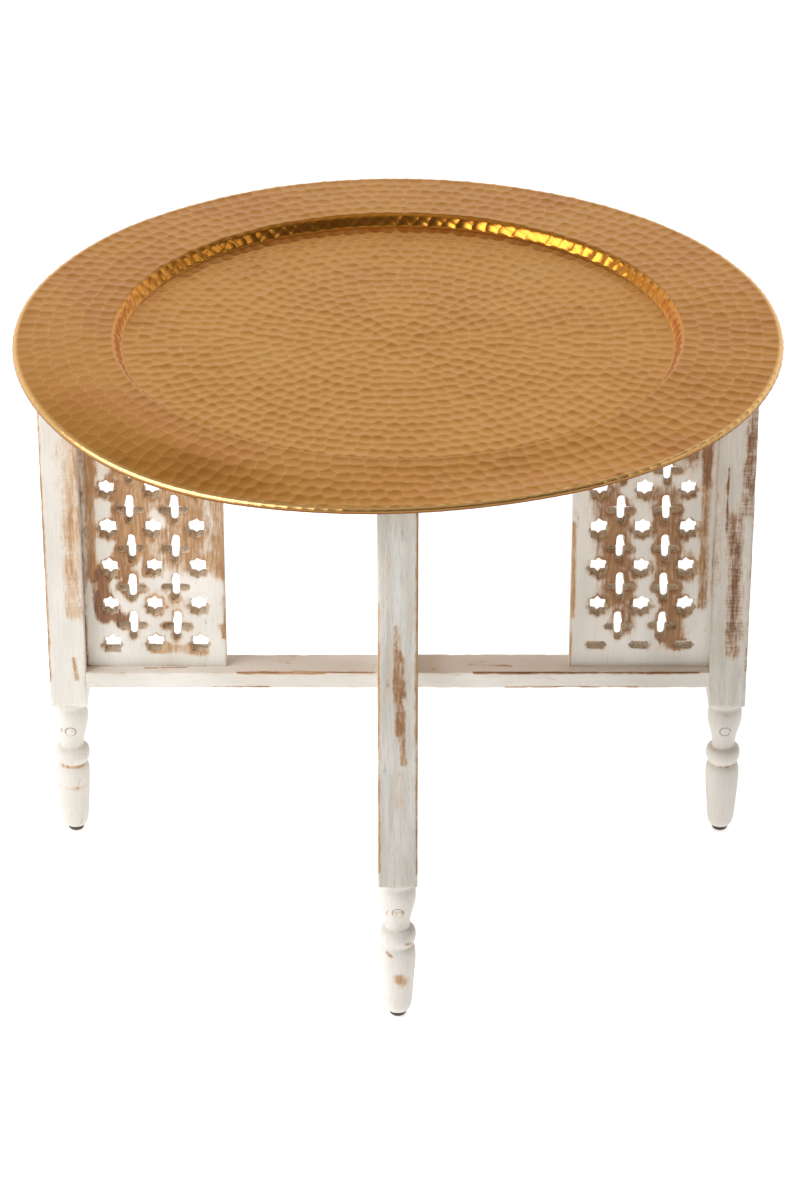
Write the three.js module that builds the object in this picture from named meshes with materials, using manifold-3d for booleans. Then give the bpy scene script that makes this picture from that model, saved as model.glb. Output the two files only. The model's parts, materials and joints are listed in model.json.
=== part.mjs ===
// A folding tray table: a hammered brass tray that lifts off a stand of two crossing wooden
// frames. Each frame has two square posts on turned feet, two rails, and two pierced panels.
// One frame's rails lie on the other's at the centre, where two bolts let the stand fold flat.
// Millimetres, +Z up, origin on the floor under the middle of the tray. The fixed frame runs
// along X, with its left and right posts; the turning frame runs along Y.

import * as THREE from "three";
import { mergeVertices } from "three/addons/utils/BufferGeometryUtils.js";
import Module from "manifold-3d";

const wasm = await Module();
wasm.setup();

// ---- Driving dimensions ----------------------------------------------------------------

const GAP = 0.3; // air left between two pieces that touch
const CUT_OVERRUN = 2; // how far a cutting tool runs past the face it starts from

// Tray: one sheet of brass, its rim falling slightly to a folded-down lip
const TRAY_RADIUS = 300;
const TRAY_HEIGHT = 460; // top of the well's edge above the floor
const RIM_FALL = 1.3; // how much lower the rim is at its outer edge
const WELL_RADIUS = 221.5;
const WELL_FLOOR_RADIUS = 216;
const WELL_DEPTH = 9;
const SHEET = 1.2;
const LIP_DROP = 3.8;
const LIP_BEND = 1.6; // radius of the bend between rim and lip
const TRAY_SIDES = 64;

// Posts
const POST_SIDE = 30;
const POST_OUTER = 283.5; // from the middle of the stand to a post's outer face
const POST_BOTTOM = 125.4;
const POST_BEVEL = 1;

// Rails and pierced panels
const RAIL_HEIGHT = 14.5;
const LOWER_RAIL_BOTTOM = 143.8;
const FIELD_HEIGHT = 222.4; // pierced part of a panel
const FIELD_WIDTH = 84;
const FIELD_MARGIN = 15.1; // plain border above and below the pierced field
const PANEL_WIDTH = 114; // seen width, from the post to the panel's free edge
const PANEL_THICKNESS = 12;
const PANEL_SETBACK = 10.5; // from a post's front face to the panel's
const HOUSING_DEPTH = 4; // how deep a panel sits in the post and in each rail
const TENON_LENGTH = 18;
const TENON_WIDTH = 18;
const TENON_HEIGHT = 6;
const TENON_OFFSET = 1.5; // from the rail's middle, away from its groove

// Piercings: rows of eight-pointed stars with crosses between them
const PITCH_X = 35.5;
const PITCH_Z = 35.4;
const STAR_ROWS = 7;
const STAR_COLUMNS = 3;
const STAR_POINTS = 8;
const STAR_RADIUS = 9.4;
const STAR_WAIST = 0.72; // inner corners' radius over the points'
const FIRST_STAR = 5; // lowest row of stars above the field's bottom
const CROSS_REACH = 12.2; // middle of a cross to the end of an arm
const CROSS_ARM = 6.6; // width of an arm

// Pivot bolts
const BOLT_RADIUS = 4;
const BOLT_CLEARANCE = 0.5;
const HEAD_RADIUS = 10;
const HEAD_RISE = 3;
const WASHER_RADIUS = 10;
const WASHER_THICKNESS = 1.2;
const WASHER_GAP = 0.2;
const NUT_ACROSS_CORNERS = 15;
const NUT_HEIGHT = 5.5;
const BOLT_END = 2; // thread that shows past the nut
const BOLT_SIDES = 16;

// Turned feet, their locking pegs and their glides
const FOOT_SIDES = 14;
const FOOT_TENON_RADIUS = 6.5;
const FOOT_TENON_LENGTH = 16;
const FOOT_BOTTOM = 5.2;
const GLIDE_RADIUS = 7;
const GLIDE_FACE_RADIUS = 3.6; // flat that stands on the floor
const GLIDE_NAIL_RADIUS = 1.2;
const GLIDE_NAIL_LENGTH = 14;
const PEG_RADIUS = 4;
const PEG_HEIGHT = 100.5; // middle of the peg above the floor
const PEG_DEPTH = 9;
const PEG_PROUD = 0.4;
const PEG_SIDES = 10;

// Radius and height of the turned outline, from the collar under the post to the toe
const FOOT_OUTLINE = [
  [12.9, 125.1],
  [12.3, 120.6],
  [13.8, 116],
  [13.9, 108.5],
  [12.6, 100.5],
  [10.2, 90],
  [9.1, 82.5],
  [12.6, 79],
  [13.9, 73],
  [11.7, 66.2],
  [13.2, 62],
  [13.7, 54],
  [12.9, 38],
  [11.3, 16],
  [9.6, 8.4],
  [8, FOOT_BOTTOM],
];

// ---- Sizes worked out from them --------------------------------------------------------

const POST_INNER = POST_OUTER - POST_SIDE;
const POST_AXIS = POST_OUTER - POST_SIDE / 2;
const RIM_OUTER_Z = TRAY_HEIGHT - RIM_FALL;
const RIM_SLOPE = RIM_FALL / (TRAY_RADIUS - WELL_RADIUS);
const POST_TOP = rimUnderside(POST_OUTER) - GAP;
const LOWER_RAIL_TOP = LOWER_RAIL_BOTTOM + RAIL_HEIGHT;
const PANEL_HEIGHT = FIELD_HEIGHT + 2 * FIELD_MARGIN;
const UPPER_RAIL_BOTTOM = LOWER_RAIL_TOP + PANEL_HEIGHT;
const STACK_GAP = WASHER_THICKNESS + 2 * WASHER_GAP;
const STACK_LIFT = RAIL_HEIGHT + STACK_GAP; // turning frame's rails above the fixed frame's
const PANEL_INNER = POST_INNER - PANEL_WIDTH;
const PANEL_FRONT = -POST_SIDE / 2 + PANEL_SETBACK;
const FIELD_MIDDLE = POST_INNER - PANEL_WIDTH / 2;
const BOLT_HOLE_RADIUS = BOLT_RADIUS + BOLT_CLEARANCE;

function rimUnderside(radius) {
  return RIM_OUTER_Z + (TRAY_RADIUS - radius) * RIM_SLOPE - SHEET;
}

// ---- Materials -------------------------------------------------------------------------

const looks = {
  brass: { color: 0xb28350, roughness: 0.42, metalness: 1 },
  paintedWood: { color: 0xe4dfd5, roughness: 0.7, metalness: 0 },
  bareWood: { color: 0xa07650, roughness: 0.8, metalness: 0 },
  steel: { color: 0x8c8a86, roughness: 0.4, metalness: 1 },
  glide: { color: 0x3c2a20, roughness: 0.5, metalness: 0 },
};

// ---- Helpers ---------------------------------------------------------------------------

function solid(geometry) {
  const bare = geometry.clone();
  bare.deleteAttribute("normal");
  bare.deleteAttribute("uv");
  const merged = mergeVertices(bare, 1e-4);
  return new wasm.Manifold(
    new wasm.Mesh({
      numProp: 3,
      vertProperties: merged.attributes.position.array,
      triVerts: new Uint32Array(merged.index.array),
    }),
  );
}

function geometryOf(manifold) {
  const mesh = manifold.getMesh();
  const geometry = new THREE.BufferGeometry();
  geometry.setAttribute("position", new THREE.BufferAttribute(mesh.vertProperties, 3));
  geometry.setIndex(new THREE.BufferAttribute(mesh.triVerts, 1));
  geometry.computeVertexNormals();
  return geometry;
}

function cut(geometry, tools) {
  let result = solid(geometry);
  for (const tool of tools) {
    result = result.subtract(solid(tool));
  }
  return geometryOf(result);
}

function mesh(name, geometry, look) {
  const made = new THREE.Mesh(geometry, new THREE.MeshStandardMaterial(looks[look]));
  made.name = name;
  return made;
}

// Turns an indexed geometry into its mirror image across the YZ plane.
function mirrorInX(geometry) {
  geometry.scale(-1, 1, 1);
  const corners = geometry.index.array;
  for (let k = 0; k < corners.length; k += 3) {
    [corners[k + 1], corners[k + 2]] = [corners[k + 2], corners[k + 1]];
  }
  geometry.computeVertexNormals();
}

// A box between two corners.
function block(low, high) {
  const size = high.map((value, axis) => value - low[axis]);
  const middle = high.map((value, axis) => (value + low[axis]) / 2);
  return new THREE.BoxGeometry(...size).translate(...middle);
}

// An upright round bar between two heights on the Z axis.
function bar(radius, bottom, top, sides = BOLT_SIDES) {
  const height = top - bottom;
  const upright = new THREE.CylinderGeometry(radius, radius, height, sides).rotateX(Math.PI / 2);
  return upright.translate(0, 0, bottom + height / 2);
}

// A body turned about Z from an outline of [radius, height] pairs, listed upwards.
function turned(outline, sides) {
  const points = outline.map(([radius, height]) => new THREE.Vector2(radius, height));
  return new THREE.LatheGeometry(points, sides).rotateX(Math.PI / 2);
}

// A prism along Y between two depths, from an outline in X and Z.
function plate(shape, front, thickness) {
  const flat = new THREE.ExtrudeGeometry(shape, { depth: thickness, bevelEnabled: false });
  return flat.rotateX(Math.PI / 2).translate(0, front + thickness, 0);
}

// ---- Tray ------------------------------------------------------------------------------

function makeTray() {
  const floor = TRAY_HEIGHT - WELL_DEPTH;
  const lipBottom = RIM_OUTER_Z - LIP_DROP;
  const inner = TRAY_RADIUS - SHEET;
  const bendStart = TRAY_RADIUS - LIP_BEND;
  const outline = [
    [0, floor - SHEET],
    [WELL_FLOOR_RADIUS + SHEET / 2, floor - SHEET],
    [WELL_RADIUS + SHEET / 2, TRAY_HEIGHT - SHEET],
    [bendStart, rimUnderside(bendStart)],
    [inner, RIM_OUTER_Z - LIP_BEND - SHEET / 2],
    [inner, lipBottom],
    [TRAY_RADIUS, lipBottom],
    [TRAY_RADIUS, RIM_OUTER_Z - LIP_BEND],
    [TRAY_RADIUS - LIP_BEND * 0.3, RIM_OUTER_Z - LIP_BEND * 0.3],
    [bendStart, RIM_OUTER_Z],
    [WELL_RADIUS, TRAY_HEIGHT],
    [WELL_FLOOR_RADIUS, floor],
    [0, floor],
  ];
  return mesh("tray", turned(outline, TRAY_SIDES), "brass");
}

// ---- Frames ----------------------------------------------------------------------------

// A post at +X, cut for the foot's tenon, both rails' tenons and the edge of its panel.
function makePost(name, lift) {
  const half = POST_SIDE / 2;
  const section = new THREE.Shape([
    new THREE.Vector2(-half + POST_BEVEL, -half),
    new THREE.Vector2(half - POST_BEVEL, -half),
    new THREE.Vector2(half, -half + POST_BEVEL),
    new THREE.Vector2(half, half - POST_BEVEL),
    new THREE.Vector2(half - POST_BEVEL, half),
    new THREE.Vector2(-half + POST_BEVEL, half),
    new THREE.Vector2(-half, half - POST_BEVEL),
    new THREE.Vector2(-half, -half + POST_BEVEL),
  ]);
  const length = POST_TOP - POST_BOTTOM;
  const body = new THREE.ExtrudeGeometry(section, { depth: length, bevelEnabled: false });
  body.translate(POST_AXIS, 0, POST_BOTTOM);
  const tenonHole = bar(
    FOOT_TENON_RADIUS + GAP,
    POST_BOTTOM - CUT_OVERRUN,
    POST_BOTTOM + FOOT_TENON_LENGTH + GAP,
    FOOT_SIDES,
  ).translate(POST_AXIS, 0, 0);
  const panelGroove = block(
    [POST_INNER - CUT_OVERRUN, PANEL_FRONT - GAP, LOWER_RAIL_TOP + lift - HOUSING_DEPTH],
    [
      POST_INNER + HOUSING_DEPTH + GAP,
      PANEL_FRONT + PANEL_THICKNESS + GAP,
      UPPER_RAIL_BOTTOM + lift + HOUSING_DEPTH,
    ],
  );
  const mortises = [
    tenonBlock(LOWER_RAIL_BOTTOM + lift, 1, GAP),
    tenonBlock(UPPER_RAIL_BOTTOM + lift, -1, GAP),
  ];
  return mesh(name, cut(body, [tenonHole, panelGroove, ...mortises]), "paintedWood");
}

// A rail's tenon at +X, grown on every side by a margin. grooveSide is as for makeRail.
function tenonBlock(railBottom, grooveSide, margin) {
  const middle = railBottom + RAIL_HEIGHT / 2 - grooveSide * TENON_OFFSET;
  return block(
    [
      POST_INNER - CUT_OVERRUN,
      -TENON_WIDTH / 2 - margin,
      middle - TENON_HEIGHT / 2 - margin,
    ],
    [
      POST_INNER + TENON_LENGTH + margin,
      TENON_WIDTH / 2 + margin,
      middle + TENON_HEIGHT / 2 + margin,
    ],
  );
}

// A rail across the frame, tenoned at both ends, drilled for its bolt and grooved for the
// panels on the side given by grooveSide: 1 for its top face, -1 for its bottom face.
function makeRail(name, bottom, grooveSide) {
  const half = POST_SIDE / 2;
  const top = bottom + RAIL_HEIGHT;
  const reach = POST_INNER - GAP;
  let body = solid(block([-reach, -half, bottom], [reach, half, top]));
  const hole = bar(BOLT_HOLE_RADIUS, bottom - CUT_OVERRUN, top + CUT_OVERRUN);
  body = body.subtract(solid(hole));
  const face = grooveSide > 0 ? top : bottom;
  const grooveEnds = [face - grooveSide * (HOUSING_DEPTH + GAP), face + grooveSide * CUT_OVERRUN];
  for (const atMinusX of [false, true]) {
    const tenon = tenonBlock(bottom, grooveSide, 0);
    const groove = block(
      [PANEL_INNER - GAP, PANEL_FRONT - GAP, Math.min(...grooveEnds)],
      [
        POST_INNER + CUT_OVERRUN,
        PANEL_FRONT + PANEL_THICKNESS + GAP,
        Math.max(...grooveEnds),
      ],
    );
    if (atMinusX) {
      [tenon, groove].forEach(mirrorInX);
    }
    body = body.add(solid(tenon)).subtract(solid(groove));
  }
  return mesh(name, geometryOf(body), "paintedWood");
}

function starPath(x, z) {
  const corners = [];
  for (let k = 0; k < 2 * STAR_POINTS; k += 1) {
    const radius = k % 2 === 0 ? STAR_RADIUS : STAR_RADIUS * STAR_WAIST;
    const angle = (k * Math.PI) / STAR_POINTS;
    corners.push(new THREE.Vector2(x + radius * Math.cos(angle), z + radius * Math.sin(angle)));
  }
  return corners;
}

function crossPath(x, z) {
  const half = CROSS_ARM / 2;
  const armEnd = [
    [half, half],
    [CROSS_REACH, half],
    [CROSS_REACH, -half],
  ];
  const corners = [];
  for (let arm = 0; arm < 4; arm += 1) {
    const angle = (-arm * Math.PI) / 2;
    for (const [along, across] of armEnd) {
      corners.push(
        new THREE.Vector2(
          x + along * Math.cos(angle) - across * Math.sin(angle),
          z + along * Math.sin(angle) + across * Math.cos(angle),
        ),
      );
    }
  }
  return corners;
}

// All piercings as prisms through the panel at +X.
function makePiercings(fieldBottom) {
  const front = PANEL_FRONT - CUT_OVERRUN;
  const depth = PANEL_THICKNESS + 2 * CUT_OVERRUN;
  const prism = (path) => solid(plate(new THREE.Shape(path), front, depth));
  const firstStar = fieldBottom + FIRST_STAR;
  let all = null;
  const collect = (path) => {
    all = all ? all.add(prism(path)) : prism(path);
  };
  for (let row = 0; row < STAR_ROWS; row += 1) {
    const z = firstStar + row * PITCH_Z;
    for (let column = 0; column < STAR_COLUMNS; column += 1) {
      const x = FIELD_MIDDLE + (column - (STAR_COLUMNS - 1) / 2) * PITCH_X;
      collect(starPath(x, z));
      if (row < STAR_ROWS - 1 && column < STAR_COLUMNS - 1) {
        collect(crossPath(x + PITCH_X / 2, z + PITCH_Z / 2));
      }
    }
  }
  const field = plate(
    new THREE.Shape([
      new THREE.Vector2(FIELD_MIDDLE - FIELD_WIDTH / 2, fieldBottom),
      new THREE.Vector2(FIELD_MIDDLE + FIELD_WIDTH / 2, fieldBottom),
      new THREE.Vector2(FIELD_MIDDLE + FIELD_WIDTH / 2, fieldBottom + FIELD_HEIGHT),
      new THREE.Vector2(FIELD_MIDDLE - FIELD_WIDTH / 2, fieldBottom + FIELD_HEIGHT),
    ]),
    front,
    depth,
  );
  return all.intersect(solid(field));
}

// A pierced panel at +X, housed in its post and in both rails.
function makePanel(name, lift) {
  const bottom = LOWER_RAIL_TOP + lift;
  const body = block(
    [PANEL_INNER, PANEL_FRONT, bottom - HOUSING_DEPTH],
    [
      POST_INNER + HOUSING_DEPTH,
      PANEL_FRONT + PANEL_THICKNESS,
      bottom + PANEL_HEIGHT + HOUSING_DEPTH,
    ],
  );
  const pierced = solid(body).subtract(makePiercings(bottom + FIELD_MARGIN));
  return mesh(name, geometryOf(pierced), "paintedWood");
}

// A turned foot at +X with its post tenon, a nail hole in its toe and a hole for its peg.
function makeFoot(name, pegTurn) {
  const tenonTop = POST_BOTTOM + FOOT_TENON_LENGTH;
  const outline = [
    [0, FOOT_BOTTOM],
    ...FOOT_OUTLINE.toReversed(),
    [FOOT_TENON_RADIUS, FOOT_OUTLINE[0][1]],
    [FOOT_TENON_RADIUS, tenonTop],
    [0, tenonTop],
  ];
  const body = turned(outline, FOOT_SIDES);
  const nailTop = FOOT_BOTTOM + GLIDE_NAIL_LENGTH + GAP;
  const nailHole = bar(GLIDE_NAIL_RADIUS + GAP, FOOT_BOTTOM - CUT_OVERRUN, nailTop, PEG_SIDES);
  const pegHole = pegBar(PEG_RADIUS + GAP, PEG_DEPTH + GAP, CUT_OVERRUN, pegTurn);
  return mesh(name, cut(body, [nailHole, pegHole]), "paintedWood");
}

// The foot's radius at a height, along the straight stretches of its outline.
function footRadius(height) {
  const above = FOOT_OUTLINE.findLastIndex(([, z]) => z >= height);
  const [upperRadius, upper] = FOOT_OUTLINE[above];
  const [lowerRadius, lower] = FOOT_OUTLINE[above + 1];
  return lowerRadius + ((upperRadius - lowerRadius) * (height - lower)) / (upper - lower);
}

// A round bar into the side of a foot's upper bulge, on the side that turn gives from -Y.
function pegBar(radius, depth, proud, turn) {
  const skin = footRadius(PEG_HEIGHT);
  const length = depth + proud;
  const lying = new THREE.CylinderGeometry(radius, radius, length, PEG_SIDES);
  return lying.translate(0, -skin - proud + length / 2, PEG_HEIGHT).rotateZ(turn);
}

function makePeg(name, turn) {
  return mesh(name, pegBar(PEG_RADIUS, PEG_DEPTH, PEG_PROUD, turn), "bareWood");
}

// A domed glide on a nail, standing on the floor under a foot.
function makeGlide(name) {
  const top = FOOT_BOTTOM - GAP;
  const outline = [
    [0, 0],
    [GLIDE_FACE_RADIUS, 0],
    [GLIDE_RADIUS * 0.78, top * 0.25],
    [GLIDE_RADIUS, top * 0.7],
    [GLIDE_RADIUS, top],
    [GLIDE_NAIL_RADIUS, top],
    [GLIDE_NAIL_RADIUS, top + GLIDE_NAIL_LENGTH],
    [0, top + GLIDE_NAIL_LENGTH],
  ];
  return mesh(name, turned(outline, FOOT_SIDES), "glide");
}

// One end of a frame: a post, its foot, peg and glide, and its panel. pegTurn is the peg's
// turn from -Y. Panels keep their front on -Y, so the end at -X is a mirror image.
function makeEnd(side, pegTurn, lift, atMinusX) {
  const round = [
    makeFoot(side + "_foot", pegTurn),
    makePeg(side + "_foot_peg", pegTurn),
    makeGlide(side + "_glide"),
  ];
  const sawn = [makePost(side + "_post", lift), makePanel(side + "_panel", lift)];
  for (const piece of round) {
    piece.position.x = atMinusX ? -POST_AXIS : POST_AXIS;
  }
  if (atMinusX) {
    sawn.forEach((piece) => mirrorInX(piece.geometry));
  }
  return [...round, ...sawn];
}

// One frame along X, with its rails and panels raised by lift.
function makeFrame(name, plusEnd, minusEnd, lift) {
  const frame = new THREE.Group();
  frame.add(
    makeRail(name + "_lower_rail", LOWER_RAIL_BOTTOM + lift, 1),
    makeRail(name + "_upper_rail", UPPER_RAIL_BOTTOM + lift, -1),
    ...makeEnd(plusEnd.side, plusEnd.pegTurn, lift, false),
    ...makeEnd(minusEnd.side, minusEnd.pegTurn, lift, true),
  );
  return frame;
}

// ---- Pivots ----------------------------------------------------------------------------

// The bolt, washers and nut that join two crossing rails; bottom is the lower rail's.
function makePivot(level, bottom) {
  const top = bottom + RAIL_HEIGHT + STACK_LIFT;
  const washerTop = bottom - WASHER_GAP;
  const nutTop = washerTop - WASHER_THICKNESS - WASHER_GAP;
  const shankEnd = nutTop - NUT_HEIGHT - BOLT_END;
  const headBottom = top + WASHER_GAP;
  const bolt = turned(
    [
      [0, shankEnd],
      [BOLT_RADIUS - 0.8, shankEnd],
      [BOLT_RADIUS, shankEnd + 0.8],
      [BOLT_RADIUS, headBottom],
      [HEAD_RADIUS, headBottom],
      [HEAD_RADIUS * 0.93, headBottom + HEAD_RISE * 0.45],
      [HEAD_RADIUS * 0.6, headBottom + HEAD_RISE * 0.85],
      [0, headBottom + HEAD_RISE],
    ],
    BOLT_SIDES,
  );
  const ring = (outer, low, high, sides) =>
    cut(bar(outer, low, high, sides), [
      bar(BOLT_RADIUS + WASHER_GAP, low - CUT_OVERRUN, high + CUT_OVERRUN),
    ]);
  const middleLow = bottom + RAIL_HEIGHT + WASHER_GAP;
  const pivot = new THREE.Group();
  pivot.add(
    mesh(level + "_pivot_bolt", bolt, "steel"),
    mesh(
      level + "_middle_washer",
      ring(WASHER_RADIUS, middleLow, middleLow + WASHER_THICKNESS, BOLT_SIDES),
      "steel",
    ),
    mesh(
      level + "_nut_washer",
      ring(WASHER_RADIUS, washerTop - WASHER_THICKNESS, washerTop, BOLT_SIDES),
      "steel",
    ),
    mesh(level + "_pivot_nut", ring(NUT_ACROSS_CORNERS / 2, nutTop - NUT_HEIGHT, nutTop, 6), "steel"),
  );
  return pivot;
}

// ---- Assembly --------------------------------------------------------------------------

const fixedFrame = makeFrame(
  "fixed",
  { side: "right", pegTurn: Math.PI },
  { side: "left", pegTurn: 0 },
  0,
);

const turningFrame = makeFrame(
  "turning",
  { side: "rear", pegTurn: Math.PI / 2 },
  { side: "front", pegTurn: -Math.PI / 2 },
  STACK_LIFT,
);
turningFrame.rotation.z = Math.PI / 2;

const table = new THREE.Group();
table.add(
  makeTray(),
  fixedFrame,
  turningFrame,
  makePivot("lower", LOWER_RAIL_BOTTOM),
  makePivot("upper", UPPER_RAIL_BOTTOM),
);

export default table;
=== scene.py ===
"""The looks of a folding tray table: a hammered brass tray on a painted wooden cross stand.

Sizes are in millimetres and turn into metres where a mesh is made. Each frame of the stand is
laid out along X, with its posts at -X and +X; the turning frame is the same layout, turned a
quarter turn about Z, so that its posts are at the front (-Y) and the rear (+Y).
"""
import json
import math

import bpy
import numpy as np
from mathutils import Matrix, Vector
from mathutils.geometry import delaunay_2d_cdt
from mathutils.kdtree import KDTree


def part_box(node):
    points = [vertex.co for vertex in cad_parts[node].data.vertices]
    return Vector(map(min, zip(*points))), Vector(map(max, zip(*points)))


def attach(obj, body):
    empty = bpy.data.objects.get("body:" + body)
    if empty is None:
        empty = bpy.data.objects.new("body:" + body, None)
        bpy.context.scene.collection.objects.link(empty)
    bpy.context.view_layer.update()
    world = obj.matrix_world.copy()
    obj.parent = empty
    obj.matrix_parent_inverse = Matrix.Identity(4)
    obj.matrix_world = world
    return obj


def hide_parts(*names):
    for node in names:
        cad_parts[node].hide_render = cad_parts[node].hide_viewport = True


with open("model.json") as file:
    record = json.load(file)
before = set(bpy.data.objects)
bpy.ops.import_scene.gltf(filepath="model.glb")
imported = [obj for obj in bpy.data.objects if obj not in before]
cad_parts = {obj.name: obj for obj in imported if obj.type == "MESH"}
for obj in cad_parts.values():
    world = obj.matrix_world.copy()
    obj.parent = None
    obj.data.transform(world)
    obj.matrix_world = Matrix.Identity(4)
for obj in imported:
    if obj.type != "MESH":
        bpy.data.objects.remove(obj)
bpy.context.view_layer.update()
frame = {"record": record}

MM = 0.001
TURN = 2 * math.pi
BODY_OF = {node: body for body, nodes in frame["record"]["behaviour"]["bodies"].items() for node in nodes}


def box_mm(node):
    """Lowest and highest corner of a CAD node, in millimetres."""
    low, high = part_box(node)
    return np.array(low) / MM, np.array(high) / MM


# ---- Sizes read from the frame ----

TRAY_HIGH = box_mm("tray")[1]
POST_LOW, POST_HIGH = box_mm("left_post")
PANEL_LOW, PANEL_HIGH = box_mm("left_panel")
RAIL_LOW, RAIL_HIGH = box_mm("fixed_lower_rail")
UPPER_RAIL_LOW, UPPER_RAIL_HIGH = box_mm("fixed_upper_rail")
TURNING_RAIL_LOW = box_mm("turning_lower_rail")[0]

POST_INNER = -POST_HIGH[0]
STACK_LIFT = TURNING_RAIL_LOW[2] - RAIL_LOW[2]


# ---- Mesh tools ----

SWELLS = 7


def waves(points, seed, length):
    """A smooth random field, mostly between -1 and 1, with swells about `length` long."""
    rng = np.random.default_rng(seed)
    total = np.zeros(len(points))
    for _ in range(SWELLS):
        direction = rng.normal(size=3)
        direction /= np.linalg.norm(direction)
        reach = length * rng.uniform(0.7, 1.5)
        total += np.sin(points @ direction * TURN / reach + rng.uniform(0, TURN))
    return total / math.sqrt(SWELLS)


def smoothstep(value, low, high):
    t = np.clip((value - low) / (high - low), 0, 1)
    return t * t * (3 - 2 * t)


def line(start, end, count):
    """`count` steps along a straight line, without its start."""
    steps = np.arange(1, count + 1)[:, None] / count
    return np.array(start) + steps * (np.array(end) - np.array(start))


def bend(start, corner, end, count):
    """`count` steps round a corner, without the start."""
    t = np.arange(1, count + 1)[:, None] / count
    return (1 - t) ** 2 * np.array(start) + 2 * t * (1 - t) * np.array(corner) + t ** 2 * np.array(end)


def toward(point, target, distance):
    """The point `distance` from `point` on the way to `target`."""
    step = np.array(target, dtype=float) - np.array(point, dtype=float)
    return np.array(point) + step * distance / np.linalg.norm(step)


def quarter_turn(points):
    """The fixed frame's layout turned on to the turning frame."""
    return np.stack([-points[:, 1], points[:, 0], points[:, 2]], axis=1)


def skin(rings):
    """Points and faces of a closed skin over a stack of equal rings, with a fan at each end."""
    size = len(rings[0])
    points = np.concatenate([rings[0].mean(axis=0)[None], *rings, rings[-1].mean(axis=0)[None]])
    here = np.arange(size)
    after = (here + 1) % size
    faces = [(0, 1 + b, 1 + a) for a, b in zip(here, after)]
    for k in range(len(rings) - 1):
        low = 1 + k * size
        high = low + size
        faces += list(zip(low + here, low + after, high + after, high + here))
    last = 1 + (len(rings) - 1) * size
    faces += [(len(points) - 1, last + a, last + b) for a, b in zip(here, after)]
    return points, [tuple(int(i) for i in face) for face in faces]


def tube(rings):
    """Points and faces of a closed skin whose last ring joins its first, like a washer's."""
    size = len(rings[0])
    here = np.arange(size)
    after = (here + 1) % size
    faces = []
    for k in range(len(rings)):
        low = k * size
        high = (k + 1) % len(rings) * size
        faces += list(zip(low + here, low + after, high + after, high + here))
    return np.concatenate(rings), [tuple(int(i) for i in face) for face in faces]


def make_piece(node, suffix, points, faces, material):
    """A mesh object from points in millimetres, which stands for `node` and rides on its body."""
    name = f"{node}_{suffix}"
    mesh = bpy.data.meshes.new(name)
    mesh.from_pydata((np.asarray(points) * MM).tolist(), [], faces)
    mesh.update()
    mesh.shade_smooth()
    mesh.materials.append(material)
    piece = bpy.data.objects.new(name, mesh)
    bpy.context.scene.collection.objects.link(piece)
    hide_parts(node)
    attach(piece, BODY_OF[node])
    return piece


def set_attribute(piece, name, values):
    layer = piece.data.attributes.new(name, "FLOAT", "POINT")
    layer.data.foreach_set("value", np.asarray(values, dtype=np.float32))


def vertex_arrays(piece):
    """Positions in millimetres and normals of a piece's vertices."""
    count = len(piece.data.vertices)
    points = np.empty(count * 3)
    normals = np.empty(count * 3)
    piece.data.vertices.foreach_get("co", points)
    piece.data.vertices.foreach_get("normal", normals)
    return points.reshape(-1, 3) / MM, normals.reshape(-1, 3)


# ---- Material tools ----


def srgb(red, green, blue):
    """A colour given as it looks on a screen, 0 to 255, as the linear colour a shader takes."""
    parts = [c / 255 for c in (red, green, blue)]
    linear = [c / 12.92 if c <= 0.04045 else ((c + 0.055) / 1.055) ** 2.4 for c in parts]
    return (*linear, 1.0)


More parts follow.
